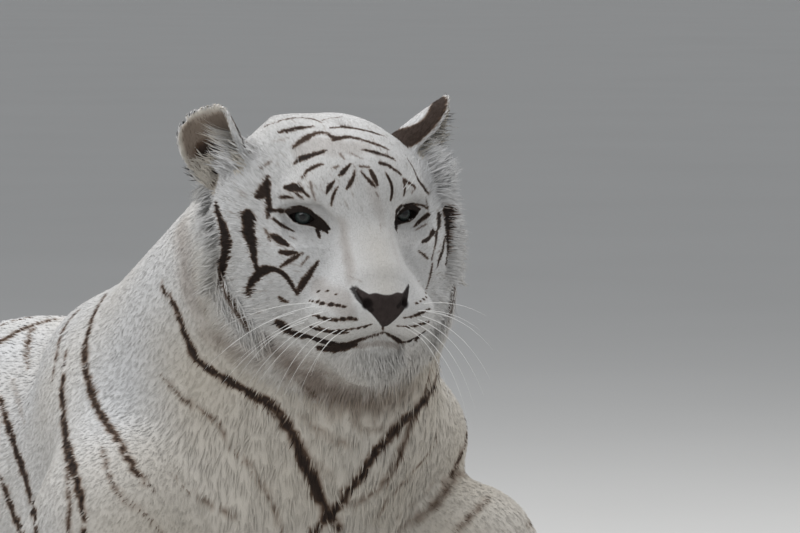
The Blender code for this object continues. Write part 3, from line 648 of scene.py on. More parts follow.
def split(v, f, corners, want):
    """Halves every edge longer than wanted there; corner values are carried along."""
    e, fe = edges_of(f, len(v))
    mid = (v[e[:, 0]] + v[e[:, 1]]) / 2
    mark = np.linalg.norm(v[e[:, 0]] - v[e[:, 1]], axis=1) > 1.45 * want(mid)
    new = np.full(len(e), -1)
    new[mark] = len(v) + np.arange(mark.sum())
    v = np.concatenate((v, mid[mark]))
    m = new[fe]
    k = (m >= 0).sum(1)
    out_f, out_c = [f[k == 0]], [corners[k == 0]]
    if (k == 3).any():
        a, b, c = f[k == 3].T
        ab, bc, ca = m[k == 3].T
        x = corners[k == 3]
        xa, xb, xc = x[:, 0], x[:, 1], x[:, 2]
        yab, ybc, yca = (xa + xb) / 2, (xb + xc) / 2, (xc + xa) / 2
        out_f += [np.stack(t, 1) for t in ((a, ab, ca), (ab, b, bc), (ca, bc, c), (ab, bc, ca))]
        out_c += [np.stack(t, 1) for t in ((xa, yab, yca), (yab, xb, ybc), (yca, ybc, xc), (yab, ybc, yca))]
    for r in range(3):
        turn = [(0 + r) % 3, (1 + r) % 3, (2 + r) % 3]
        one = (k == 1) & (m[:, turn[0]] >= 0)
        if one.any():
            a, b, c = f[one][:, turn].T
            ab = m[one][:, turn[0]]
            x = corners[one][:, turn]
            y = (x[:, 0] + x[:, 1]) / 2
            out_f += [np.stack((a, ab, c), 1), np.stack((ab, b, c), 1)]
            out_c += [np.stack((x[:, 0], y, x[:, 2]), 1), np.stack((y, x[:, 1], x[:, 2]), 1)]
        two = (k == 2) & (m[:, turn[2]] < 0)           # ab and bc halved
        if two.any():
            a, b, c = f[two][:, turn].T
            ab, bc = m[two][:, turn[0]], m[two][:, turn[1]]
            x = corners[two][:, turn]
            yab, ybc = (x[:, 0] + x[:, 1]) / 2, (x[:, 1] + x[:, 2]) / 2
            out_f += [np.stack((ab, b, bc), 1), np.stack((a, ab, bc), 1), np.stack((a, bc, c), 1)]
            out_c += [np.stack((yab, x[:, 1], ybc), 1), np.stack((x[:, 0], yab, ybc), 1), np.stack((x[:, 0], ybc, x[:, 2]), 1)]
    return v, np.concatenate(out_f), np.concatenate(out_c)


def normals_of(v, f):
    n = np.cross(v[f[:, 1]] - v[f[:, 0]], v[f[:, 2]] - v[f[:, 0]])
    out = np.stack([np.bincount(f.ravel(), np.repeat(n[:, k], 3), minlength=len(v)) for k in range(3)], 1)
    return out / np.maximum(np.linalg.norm(out, axis=1), 1e-12)[:, None]


def settle_skin(p, steps, clip=0.010):
    """Onto the skin: the coat's depth is taken once per step, at the point itself."""
    for _ in range(steps):
        depth = traits(p)[0]
        d, g = slope(skin_distance, p, 0.0006)
        g2 = np.maximum((g * g).sum(1), 0.25)
        p = p - np.clip((d + depth) / g2, -clip, clip)[:, None] * g
    return p


def seat(p, steps, clip=0.010, first=False):
    """Onto the skin; round the eyes it is taken as a height along the gaze, so lids and corners keep their points."""
    out = settle_skin(p, steps, clip)
    for s in (-1, 1):
        c, g, inner, up_ = EYE_FRAMES[s]
        u, v, w = eye_coords(s, p)
        i = np.flatnonzero((np.hypot(u - 0.004, v + 0.002) < 0.031) & (w > 0.004) & (w < 0.070))
        if not len(i):
            continue
        q = p[i] + g * (0.056 - w[i] if first else np.full(len(i), 0.003))[:, None]
        depth = traits(p[i])[0]
        for _ in range(22 if first else 9):
            q = q - g * np.clip(skin_distance(q) + depth, -0.004, 0.010)[:, None]
        out[i] = q
    return out


def floor_press(p):
    """The flesh is pressed flat a little above the floor."""
    flat = SINK + 0.0022
    low = p[:, 2] < flat + 0.006
    z = p[low, 2] - flat
    p[low, 2] = flat + np.where(z < -0.006, 0.0, (z + 0.006) ** 2 / 0.024)
    return p


EYE_AT = {s: EYE_FRAMES[s][0] for s in (-1, 1)}
NOSE_AT = hp(0.095, 0, -0.088)
MOUTH_AT = hp(0.085, 0, -0.118)


def wanted(p):
    h = to_head(p)
    w = np.full(len(p), 0.0110)
    r = np.sqrt(((h - (-0.03, 0, -0.03)) ** 2).sum(1))
    w = np.minimum(w, 0.0034 + np.clip((r - 0.165) * 0.09, 0, 0.02))
    face = np.sqrt((((h - (0.045, 0, -0.05)) / (1.0, 1.1, 1.35)) ** 2).sum(1))
    w = np.minimum(w, 0.0019 + np.clip((face - 0.070) * 0.05, 0, 0.02))
    for s in (-1, 1):
        r = np.sqrt(((p - EYE_AT[s]) ** 2).sum(1))
        w = np.minimum(w, 0.00085 + np.clip((r - 0.026) * 0.12, 0, 0.02))
    r = np.sqrt(((p - NOSE_AT) ** 2).sum(1))
    w = np.minimum(w, 0.0010 + np.clip((r - 0.030) * 0.12, 0, 0.02))
    for m in MOUTH:
        near = nearest_on(m, p)
        w = np.minimum(w, 0.0012 + np.clip((near - 0.005) * 0.15, 0, 0.02))
    for leg in LEGS:
        w = np.minimum(w, 0.0055 + np.clip((np.sqrt(((p - leg[-2][2]) ** 2).sum(1)) - 0.07) * 0.06, 0, 0.02))
        w = np.minimum(w, 0.0046 + np.clip((np.sqrt(((p - (leg[-2][2] + leg[-3][2]) / 2) ** 2).sum(1)) - 0.055) * 0.20, 0, 0.02))
    return w


def build_skin():
    v, f = even_net()
    clock("net: %d triangles" % len(f))
    thick_outline = lambda t: (lambda p: outline_distance_with(p, t))
    v = settle(thick_outline(0.022), v, 4)
    for t, lvl in ((0.020, 0.0), (0.015, 0.001), (0.011, 0.001), (0.0085, 0.002)):
        v = smooth(v, f, 0.5)
        v = settle(thick_outline(t), v, 2, -lvl)
    return v, f


def outline_distance_with(p, thick):
    global EAR_THICK
    keep, EAR_THICK = EAR_THICK, thick
    out = outline_distance(p)
    EAR_THICK = keep
    return out


EAR_THICK = 0.0085
_plain_ear = ear_distance


def ear_distance(side, p, thick=None):
    return _plain_ear(side, p, EAR_THICK if thick is None else thick)


V, F = build_skin()
clock("net settled: %d" % len(F))


# ------------------------------------------------------------------ the skin's own unwrap
def unwrap(v, f):
    """Unwraps the coarse net, head islands drawn larger, and returns a value for each corner."""
    mesh = bpy.data.meshes.new("unwrap")
    mesh.from_pydata(v.tolist(), [], f.tolist())
    obj = bpy.data.objects.new("unwrap", mesh)
    bpy.context.scene.collection.objects.link(obj)
    mesh.uv_layers.new(name="map")
    bpy.ops.object.select_all(action="DESELECT")
    bpy.context.view_layer.objects.active = obj
    obj.select_set(True)
    bpy.ops.object.mode_set(mode="EDIT")
    bpy.ops.mesh.select_all(action="SELECT")
    bpy.ops.uv.smart_project(angle_limit=math.radians(68), island_margin=0.0, area_weight=0.0)
    bpy.ops.object.mode_set(mode="OBJECT")
    uv = np.empty(len(mesh.loops) * 2)
    mesh.uv_layers["map"].data.foreach_get("uv", uv)
    uv = uv.reshape(-1, 3, 2)
    # islands: corners joined where neighbouring triangles share both places
    n = len(v)
    e = np.concatenate((f[:, [0, 1]], f[:, [1, 2]], f[:, [2, 0]]))
    tri = np.tile(np.arange(len(f)), 3)
    ua = np.concatenate((uv[:, 0], uv[:, 1], uv[:, 2]))
    ub = np.concatenate((uv[:, 1], uv[:, 2], uv[:, 0]))
    flip = e[:, 0] > e[:, 1]
    ua2 = np.where(flip[:, None], ub, ua)
    ub2 = np.where(flip[:, None], ua, ub)
    e = np.sort(e, axis=1)
    key = e[:, 0] * n + e[:, 1]
    order = np.argsort(key, kind="stable")
    key, tri, ua2, ub2 = key[order], tri[order], ua2[order], ub2[order]
    same = (key[1:] == key[:-1]) & (np.abs(ua2[1:] - ua2[:-1]).max(1) < 1e-5) & (np.abs(ub2[1:] - ub2[:-1]).max(1) < 1e-5)
    a, b = tri[1:][same], tri[:-1][same]
    label = np.arange(len(f))
    for _ in range(400):
        low = np.minimum(label[a], label[b])
        nxt = label.copy()
        np.minimum.at(nxt, a, low)
        np.minimum.at(nxt, b, low)
        nxt = nxt[nxt]
        if (nxt == label).all():
            break
        label = nxt
    _, isle = np.unique(label, return_inverse=True)
    count = np.bincount(isle)
    centre = np.stack([np.bincount(isle, uv[:, :, k].mean(1)) / count for k in range(2)], 1)
    spot = np.stack([np.bincount(isle, v[f].mean(1)[:, k]) / count for k in range(3)], 1)
    near_head = np.sqrt(((to_head(spot) - (-0.02, 0, -0.03)) ** 2).sum(1)) < 0.20
    grow = np.where(near_head, 2.6, 1.0)
    uv = centre[isle][:, None] + (uv - centre[isle][:, None]) * grow[isle][:, None, None]
    mesh.uv_layers["map"].data.foreach_set("uv", uv.ravel().astype(np.float32))
    bpy.ops.object.mode_set(mode="EDIT")
    bpy.ops.mesh.select_all(action="SELECT")
    bpy.ops.uv.select_all(action="SELECT")
    bpy.ops.uv.pack_islands(rotate=True, margin=0.0015, shape_method="AABB")
    bpy.ops.object.mode_set(mode="OBJECT")
    out = np.empty(len(mesh.loops) * 2)
    mesh.uv_layers["map"].data.foreach_get("uv", out)
    bpy.data.objects.remove(obj)
    bpy.data.meshes.remove(mesh)
    print("islands", len(count), "uv range", out.min(), out.max())
    return np.clip(out.reshape(-1, 3, 2), 0.001, 0.999)


UV = unwrap(V, F)
clock("unwrapped")
V = seat(V, 1, 0.010, True)
for turn in range(6):
    before = len(F)
    V, F, UV = split(V, F, UV, wanted)
    V = smooth(V, F, 0.35)
    V = seat(V, 1)
    clock("split %d: %d triangles" % (turn, len(F)))
    if len(F) < before * 1.01 or len(F) > 188000:
        break
for _ in range(2):
    V = smooth(V, F, 0.25)
    V = seat(V, 1)
V = settle_skin(V, 2, 0.0015)
V = floor_press(V)
clock("skin: %d triangles" % len(F))

# ------------------------------------------------------------------ stripes and spots, and painted shade laid the same way
# Strokes are given where they are seen: (x, y, half width) on the 800 x 533 picture plane; they are laid on the
# outline of the coat, and the nearness of a hair to a stroke makes it dark.
NEAR_FACE = [
    (0.97, [(243, 214, 2.0), (247, 216, 7.6), (248, 228, 6.8), (251, 244, 4.6), (253, 258, 3.0), (256, 270, 2.0)]),
    (0.95, [(248, 296, 1.5), (249, 287, 3.4), (254, 277, 4.4), (264, 271, 3.8), (275, 270, 2.8), (285, 276, 2.4), (292, 286, 2.2), (296, 295, 1.5)]),
    (0.80, [(295, 295, 1.2), (302, 281, 1.8), (311, 268, 1.0)]),
    (0.95, [(214, 203, 2.6), (217, 216, 4.4), (222, 232, 6.4), (224, 250, 6.8), (221, 268, 4.6), (217, 289, 1.6)]),
    (0.66, [(222, 283, 1.8), (227, 297, 3.0), (236, 312, 4.0), (247, 331, 1.8)]),
    (0.92, [(284, 187, 3.2), (290, 187.6, 4.4), (298, 188.5, 2.8), (304, 192, 1.4), (309, 197, 0.9)]),
    (0.85, [(295, 193, 0.9), (299, 196, 1.1), (303, 199.5, 0.8)]),
    (0.88, [(279, 197.6, 1.2), (284, 196.8, 2.0), (293, 198.4, 0.9)]),
    (0.50, [(310.4, 182, 1.8), (312, 191, 1.4), (315, 200, 0.8)]),
    (0.60, [(259, 169, 0.9), (265, 165, 1.4), (271.5, 161, 0.8)]),
    (0.86, [(268, 176, 1.4), (265, 183, 3.8), (261.5, 191, 6.2), (259, 195, 4.0)]),
    (0.96, [(267, 182, 2.4), (268, 196, 3.2), (268.6, 208, 2.6), (267.5, 217, 1.4)]),
    (0.92, [(268, 210, 2.6), (277, 210.5, 2.2), (286, 212, 1.8)]),
    (0.90, [(272, 217.3, 1.4), (282, 224.5, 2.1), (294, 230.5, 1.0)]),
    (0.60, [(263.5, 227.6, 1.2), (267.5, 234, 1.5), (269.5, 241, 1.0)]),
    (0.95, [(272, 234.5, 1.6), (279.5, 239.5, 3.8), (287, 244.5, 1.8)]),
    (0.60, [(290, 236, 1.1), (295.7, 238.6, 0.9)]),
    (0.90, [(279, 251.8, 1.6), (287, 253.2, 2.4), (297, 252.4, 1.2)]),
    (0.85, [(280, 267, 1.2), (291, 260, 2.0), (303, 252.6, 1.0)]),
    (0.60, [(301, 266, 1.0), (308, 257, 1.3)]), (0.65, [(310, 270, 1.2), (319, 261, 1.2)]),
    (0.92, [(297, 295, 1.2), (306, 280, 2.6), (318, 262, 1.4)]),
]
CROWN = [
    (0.80, [(263.5, 126.4, 0.7), (278, 120.5, 1.1), (294.3, 116.9, 1.2), (310.4, 117.6, 1.2), (322, 122, 0.9)]),
    (0.60, [(322, 119.4, 0.7), (332, 117, 0.9), (343, 116, 0.7)]),
    (0.88, [(279, 131.5, 1.4), (287, 129.6, 2.4), (296, 128, 2.8), (305, 126.6, 2.4), (313.5, 125.7, 1.4)]),
    (0.45, [(271, 141, 0.8), (280, 139, 1.2), (289, 137.6, 0.8)]),
    (0.76, [(293, 147, 1.4), (301.6, 140.3, 3.0), (310.4, 134.8, 3.0), (320, 131.8, 2.2), (328, 133, 1.6)]),
    (0.80, [(329, 134, 2.2), (335.5, 138.4, 3.8), (342, 137.2, 2.8), (349, 136, 2.0)]),
    (0.92, [(331, 127.1, 1.4), (345.6, 126.4, 1.8), (360.3, 128.6, 1.8), (372, 131.5, 1.5), (386, 136, 0.9)]),
    (0.80, [(349, 136, 2.0), (361.8, 138.9, 2.3), (375, 143.3, 2.1), (389.6, 149.1, 1.0)]),
    (0.97, [(294.3, 162.3, 1.5), (300, 159, 2.6), (308, 156, 3.0), (316.3, 153.5, 2.6), (326.5, 150.4, 1.4)]),
    (0.94, [(361.8, 149.1, 1.0), (372, 151.3, 1.9), (383.8, 154.3, 2.0), (395.5, 159.4, 1.0)]),
    (0.93, [(301.6, 177.7, 1.1), (306.7, 171.1, 2.1), (313.3, 166.7, 2.1), (322.1, 164.3, 1.0)]),
    (0.90, [(380.5, 163, 1.6), (388.2, 164.8, 2.4), (394, 168.9, 2.0), (401.4, 174.1, 1.0)]),
    (0.60, [(333.9, 167.5, 1.6), (338.3, 166, 1.4)]), (0.50, [(339.7, 152.8, 1.4), (344.2, 158.7, 1.4)]),
    (0.42, [(350, 152, 1.0), (357, 155.7, 1.3), (363, 158.7, 0.9)]),
    (0.92, [(339.2, 175.2, 1.2), (344.2, 170.4, 2.2), (350.5, 164, 1.1)]),
    (0.82, [(346.6, 188.6, 1.2), (350.8, 182.8, 1.8), (353.7, 176.3, 1.3), (355.2, 170.4, 0.9)]),
    (0.92, [(326.3, 194.2, 1.0), (329.2, 187.3, 2.1), (334.6, 180.4, 1.0)]),
    (0.85, [(331, 205.6, 1.1), (332.4, 198.3, 1.5), (335.3, 191, 1.3), (338.3, 186.5, 0.8)]),
    (0.60, [(360.3, 166, 1.5), (369, 166.7, 1.3)]),
    (0.85, [(361.6, 171.7, 1.2), (366.2, 177.7, 2.0), (371, 182.6, 1.5), (375, 186.5, 0.8)]),
    (0.85, [(370.6, 170.4, 1.6), (374.2, 176.3, 2.2), (377.9, 185, 0.9)]),
    (0.92, [(386.5, 173.3, 0.9), (391.1, 182.1, 1.6), (392.8, 190.9, 1.8), (391.1, 200, 1.1)]),
    (0.45, [(376, 192, 0.8), (379, 197, 0.8)]),
]
FAR_FACE = [
    (0.78, [(404.3, 179.5, 1.6), (405.6, 188, 1.6), (404.3, 195.4, 0.9)]), (0.78, [(405, 180.5, 1.8), (410, 183, 2.2), (416, 187, 1.2)]),
    (0.60, [(411.6, 193.9, 0.9), (416, 188, 0.9)]),
    (0.86, [(407.2, 157.2, 0.9), (414.6, 168.9, 1.5), (419, 179.2, 2.8), (424.8, 187.5, 3.2), (429, 192.6, 1.8)]),
    (0.80, [(411.6, 204.4, 1.0), (420.4, 205.6, 1.4), (429.2, 208.5, 1.2)]), (0.75, [(429, 208, 1.2), (427, 198, 1.0)]),
    (0.86, [(414.6, 226.2, 1.0), (421.9, 218.8, 1.8), (429.2, 214, 2.0)]), (0.70, [(416, 229.3, 0.9), (422, 226, 1.0), (427.8, 223, 0.8)]),
    (0.92, [(422.8, 241.6, 1.4), (428.6, 237.6, 3.0), (433.6, 230.2, 1.4)]), (0.80, [(419, 251, 1.0), (423.4, 254.4, 1.6), (428, 258.6, 1.0)]),
    (0.94, [(440.8, 214.5, 2.6), (440.2, 222, 2.8), (438, 231, 1.8), (436, 243, 1.2), (432.4, 260, 0.9)]),
    (0.88, [(446.4, 236, 1.4), (444.4, 247, 2.8), (441, 257, 2.4), (438, 267, 1.0)]),
    (0.78, [(426, 293, 1.0), (430.5, 278, 1.8), (433, 264, 1.0)]),
]
BODY = [
    (0.90, [(160, 288, 3.2), (172, 305, 4.4), (182, 330, 5.2), (195, 359, 6.0), (222, 379, 5.6), (249, 395, 5.4), (274, 412, 5.8), (294, 441, 6.4), (312, 478, 6.4), (328, 513, 5.2), (342, 531, 3.0)]),
    (0.60, [(159, 376, 1.4), (174, 392, 2.2), (191, 406, 2.6), (216, 423, 2.6), (228, 445, 2.8), (249, 469, 2.8), (268, 497, 2.4), (283, 533, 1.5)]),
    (0.85, [(105, 292, 2.4), (93, 312, 3.8), (84, 345, 4.4), (86, 376, 4.6), (98, 410, 4.4), (119, 441, 3.8), (138, 473, 3.0), (155, 490, 1.6)]),
    (0.60, [(102, 444, 1.4), (107, 469, 2.4), (119, 494, 3.0), (143, 513, 2.6), (166, 536, 1.8)]),
    (0.50, [(172, 473, 1.4), (189, 490, 2.2), (216, 508, 2.2), (243, 522, 1.2)]),
    (0.75, [(76, 310, 2.2), (62, 329, 3.2), (55, 356, 3.0), (51, 381, 1.5)]),
    (0.95, [(65, 350, 2.0), (61, 386, 4.4), (62, 420, 5.2), (66, 446, 5.2), (74, 472, 4.8), (82, 510, 4.2), (83, 540, 3.4)]),
    (0.70, [(65, 463, 1.6), (68, 498, 3.0), (67, 536, 2.4)]),
    (0.70, [(35, 323, 2.2), (27, 341, 3.2), (27, 369, 1.6)]),
    (0.35, [(11, 376, 1.6), (17, 400, 2.6), (23, 423, 1.4)]),
    (0.92, [(-2, 396, 2.6), (10, 436, 4.8), (25, 482, 5.2), (33, 515, 4.6), (35, 540, 3.6)]),
    (0.90, [(-1, 477, 2.6), (10, 508, 4.4), (21, 538, 4.4)]),
]
CHEST = [
    (0.62, [(438, 364, 2.8), (430, 394, 4.8), (416, 423, 6.0), (405, 452, 6.2), (396, 474, 5.0), (379, 494, 3.8), (356, 507, 2.2)]),
    (0.66, [(463, 450, 2.2), (457, 471, 3.2), (444, 493, 4.0), (423, 514, 3.8), (402, 532, 2.4)]),
    (0.72, [(490, 496, 1.6), (476, 510, 2.4), (456, 531, 2.4)]),
    (0.60, [(296, 381, 2.4), (310, 394, 4.2), (323, 405, 2.4)]),
    (0.45, [(303, 419, 2.0), (320, 433, 3.4), (342, 444.6, 3.0), (356, 448, 2.0)]),
    (0.38, [(352, 422, 1.8), (369, 432, 3.0), (387, 430.5, 3.0), (402, 422, 1.8)]),
    (0.38, [(310, 457, 1.6), (324, 471, 2.2), (336, 481, 1.6)]),
]


def dense(points, step=4.0):
    pts = np.array(points, float)
    out = []
    for i in range(len(pts) - 1):
        p0, p1, p2, p3 = pts[max(i - 1, 0)], pts[i], pts[i + 1], pts[min(i + 2, len(pts) - 1)]
        n = max(2, int(np.linalg.norm(p2[:2] - p1[:2]) / step))
        f = (np.arange(n) / n)[:, None]
        out.append(0.5 * (2 * p1 + (p2 - p0) * f + (2 * p0 - 5 * p1 + 4 * p2 - p3) * f ** 2 + (3 * p1 - p0 - 3 * p2 + p3) * f ** 3))
    out.append(pts[-1:])
    return np.concatenate(out)


STROKES = []                      # (path, half widths in m, darkness, softness in m)


def lay(strokes, soft, mirror=None, grow=1.0, fn=None):
    """Lays strokes on the coat; mirror gives the place of each on the side that is not seen."""
    flat = [dense(s) for _, s in strokes]
    spots = onto_outline(np.concatenate([f[:, :2] for f in flat]), fn)
    at = 0
    for (dark, _), f in zip(strokes, flat):
        path = spots[at:at + len(f)]
        at += len(f)
        jump = np.linalg.norm(np.diff(path, axis=0), axis=1)
        keep = np.concatenate(([True], jump < 0.06))
        path, width = path[keep], np.maximum(f[keep, 2] * grow, 0.5) * PX
        if len(path) > 1:
            STROKES.append((path, width, dark, soft))
            if mirror is not None:
                other = mirror(path)
                other = settle(outline_distance, other, 6)
                STROKES.append((other, width, dark, soft))


def mirror_head(path):
    h = to_head(path) * (1, -1, 1)
    return h @ HEAD_ROT.T + HEAD_ORIGIN


def mirror_body(path):
    out = path.copy()
    out[:, 1] = 2 * drift(out[:, 0]) - out[:, 1]
    out[:, 0] -= 0.018
    return out


lay(NEAR_FACE[:1] + NEAR_FACE[3:5], 0.0013, mirror_head, 1.04)
lay(NEAR_FACE[1:3] + NEAR_FACE[5:], 0.0010, None, 1.10, skin_distance)
lay(CROWN, 0.0010, None, 1.12, skin_distance)
lay(FAR_FACE, 0.0010, None, 1.10, skin_distance)
lay(BODY, 0.0026, mirror_body, 0.92)
lay(CHEST, 0.0060, None, 1.05)
# painted shade, laid as grey and dun strokes: the shadow under the jaw and chin, and the shade down the neck and under
# the ruff's lower edge here; beside the bridge and between the eyes below
JAW_NECK_SHADE = [
    (0.46, [(266, 346, 7), (284, 361, 13), (303, 376, 18), (324, 391, 21), (347, 402, 19), (373, 407, 15), (398, 402, 11), (420, 389, 7)]),
    (0.40, [(286, 354, 5), (302, 366, 8), (320, 378, 10), (340, 390, 10), (362, 397, 8), (388, 396, 6), (410, 388, 4)]),
    (0.42, [(300, 361, 5), (314, 368, 8), (328, 376, 7), (342, 386, 4)]),
    (0.31, [(178, 225, 10), (182, 255, 14), (186, 285, 14), (196, 312, 12)]), (0.31, [(205, 335, 14), (228, 350, 16), (252, 362, 14)]),
]
lay(JAW_NECK_SHADE, 0.0220, None, 1.0)
# painted shade in the clefts between the toes
for path in CLEFTS:
    STROKES.append((path, np.full(len(path), 0.0028), 0.42, 0.0030))
# painted shade on the face: both sides of the bridge, between the eyes, over the near muzzle, across the forehead and
# by the near eye's inner corner
FACE_SHADE = [
    (0.27, [(341, 222, 5), (345, 245, 6), (348, 265, 5.5), (349.5, 282, 3)]), (0.16, [(370, 186, 7), (377, 204, 8), (383, 222, 5)]),
    (0.13, [(391, 232, 3), (395, 250, 3.5), (401, 268, 3)]), (0.23, [(318, 286, 10), (336, 298, 11), (346, 312, 9)]),
    (0.20, [(300, 150, 11), (318, 144, 13), (340, 146, 12), (362, 146, 10)]), (0.10, [(316, 205, 8), (330, 222, 8)]),
]
lay(FACE_SHADE, 0.0085, None, 1.0)


def around(x, ang, side):
    """A place on the trunk: ang is 90 degrees on the spine and 0 level at the side."""
    o = np.array((x, float(drift(x)), 0.24))
    d = np.array((0.0, side * math.cos(math.radians(ang)), math.sin(math.radians(ang))))
    t = np.arange(0.02, 0.40, 0.004)
    dist = blended(TRUNK, o + d * t[:, None])
    i = int(np.argmax(dist > 0)) if (dist > 0).any() else len(t) - 1
    return o + d * t[i]


def ride_along(points, half, dark, soft=0.0045):
    pts = np.array([(*p, w) for p, w in zip(points, half)], float)
    out = []
    for i in range(len(pts) - 1):
        p0, p1, p2, p3 = pts[max(i - 1, 0)], pts[i], pts[i + 1], pts[min(i + 2, len(pts) - 1)]
        n = max(2, int(np.linalg.norm(p2[:3] - p1[:3]) / 0.010))
        f = (np.arange(n) / n)[:, None]
        out.append(0.5 * (2 * p1 + (p2 - p0) * f + (2 * p0 - 5 * p1 + 4 * p2 - p3) * f ** 2 + (3 * p1 - p0 - 3 * p2 + p3) * f ** 3))
    out.append(pts[-1:])
    out = np.concatenate(out)
    STROKES.append((settle(outline_distance, out[:, :3], 6), np.maximum(out[:, 3], 0.0012), dark, soft))


# flanks: long thin bars from the spine, some in pairs that meet, slanting back towards the belly
for side in (-1, 1):
    x = -0.25
    k = 0
    while x > -0.99:
        jit = rng.uniform(-1, 1, 6)
        low = 2 + 22 * jit[0] if k % 2 else -14 + 8 * jit[0]
        w = (0.0050 + 0.0016 * jit[1]) * (1.0 if k % 3 else 1.25)
        lean = -0.05 - 0.02 * jit[2]
        stops = np.linspace(88, low, 6)
        pts = [around(x + lean * (i / 5) ** 1.3 + 0.012 * math.sin(1.7 * i + k), a, side) for i, a in enumerate(stops)]
        ride_along(pts, [w * 0.7, w, w * 1.15, w, w * 0.8, 0.0015], 0.80 + 0.15 * jit[3])
        if k % 2 == 0:
            pts = [around(x - 0.026 + (lean + 0.03) * (i / 4), a, side) for i, a in enumerate(np.linspace(60, 14, 5))]
            ride_along(pts, [0.0014, w * 0.6, w * 0.7, w * 0.6, 0.0014], 0.65)
        x -= 0.078 + 0.012 * jit[4]
        k += 1
# nape and back of the skull
for k, (hx, hz, half) in enumerate(((-0.115, 0.115, 0.075), (-0.150, 0.095, 0.085), (-0.190, 0.060, 0.085))):
    for s in (-1, 1):
        pts = [hp(hx - 0.018 * f, s * half * f, hz - 0.030 * f * f) for f in (0.12, 0.45, 0.75, 1.0)]
        ride_along(pts, [0.0018, 0.0036, 0.0040, 0.0015], 0.75, 0.003)
# limbs: short bars across their outer sides
for leg, side, strong in ((LEGS[2], -1, 0.85), (LEGS[3], 1, 0.85), (LEGS[0], -1, 0.55), (LEGS[1], 1, 0.60)):
    for m, cuts in ((leg[0], (0.15, 0.45, 0.75, 1.0)), (leg[1], (0.2, 0.5, 0.8)), (leg[2], (0.15, 0.6))):
        axis = m[2] - m[1]
        axis /= np.linalg.norm(axis)
        out_ = np.array((0.0, side, 0.0)) - axis * (axis[1] * side)
        out_ /= np.linalg.norm(out_)
        other = np.cross(axis, out_)
        if leg is LEGS[0] and m is leg[0]:
            continue
        for c in cuts:
            r = m[3][0] + (m[3][1] - m[3][0]) * c
            o = m[1] + (m[2] - m[1]) * c
            j = rng.uniform(-1, 1, 3)
            pts = [o + (out_ * math.cos(a) + other * math.sin(a)) * r + axis * 0.02 * a * j[0] for a in np.linspace(-0.95 + 0.2 * j[1], 0.95 + 0.2 * j[2], 5)]
            ride_along(pts, [0.0014, 0.0040, 0.0052, 0.0040, 0.0014], strong, 0.004)
# brows of the eyes: dark rims and tear lines, lips
RIM = [
    (0.95, [(317, 229, 1.8), (318.5, 233, 1.4), (319.5, 237.5, 0.8)]), (0.92, [(325, 229, 1.9), (327.5, 233, 1.0)]),
    (1.00, [(312, 213, 1.3), (318, 217.5, 1.9), (324, 223, 2.0), (329, 229, 1.4)]),
    (0.95, [(286, 211, 1.0), (291, 208.5, 1.3), (300, 206.8, 1.5), (308, 209.5, 1.4), (313, 213, 1.3)]),
    (0.97, [(397.5, 211, 2.2), (396.3, 217, 2.3), (395.6, 223, 2.0), (396, 228, 1.3), (398, 232, 0.8)]),
    (0.95, [(397.5, 211, 2.2), (402.5, 207, 2.4), (408, 204.8, 2.2), (413, 204.2, 1.7), (418, 207, 1.1)]),
    (0.75, [(418, 206, 0.9), (424, 206.5, 1.1), (428, 209, 0.8)]),
]
lay(RIM, 0.0007, None, 1.0, skin_distance)
LIPS = [
    (0.90, [(277, 322, 2.0), (283, 327, 4.2), (290, 331, 3.4)]), (0.80, [(279, 298, 1.3), (283, 301, 2.1), (288, 302.5, 1.2)]),
    (0.88, [(309, 327, 1.4), (322, 331, 2.4), (336, 333.5, 2.4), (348, 333, 1.3)]),
    (0.90, [(326, 346, 2.6), (336, 347.5, 3.4), (347, 347.5, 2.8), (356, 345, 1.6)]),
    (0.85, [(409, 342, 2.2), (416, 338.5, 3.6), (424, 332.5, 2.4)]),
    (0.90, [(384, 333, 1.1), (373, 336, 1.1), (358, 341, 1.4), (346, 346, 2.4), (331, 350, 2.6), (317, 348, 2.2)]),
    (0.94, [(275, 323, 1.6), (284, 329, 3.4), (294, 333.5, 3.6), (306, 337.5, 3.8), (320, 341.5, 4.2), (334, 344.5, 3.8), (348, 346, 2.2)]),
    (0.92, [(385, 333, 1.3), (394, 338, 1.6), (403, 343, 1.8), (411, 342, 2.6), (419, 338, 3.6), (425, 332, 1.8)]),
    (0.30, [(350, 348, 2.0), (366, 345, 3.0), (384, 343, 3.2), (400, 347, 2.6)]),
    (0.80, [(383, 323, 1.2), (383, 334, 1.4)]),
]
ROWS = [
    (0.42, [(309, 300.5, 0.7), (322, 303, 1.1), (334, 304.6, 1.1), (344, 306.5, 0.7)]),
    (0.66, [(312, 315, 0.8), (324, 318.5, 1.3), (340, 319.4, 1.4), (356, 319.5, 0.8)]),
    (0.76, [(319, 327.5, 0.8), (332, 331.2, 1.3), (348, 330, 1.1), (371, 325, 0.7)]),
    (0.70, [(405, 318, 0.7), (417, 315, 1.1), (430, 309, 0.7)]), (0.70, [(398, 326.5, 0.7), (414, 326.6, 1.1), (429, 322, 0.7)]),
]
lay(LIPS, 0.0010, None, 1.0, skin_distance)
lay(ROWS, 0.0009, None, 1.0, skin_distance)
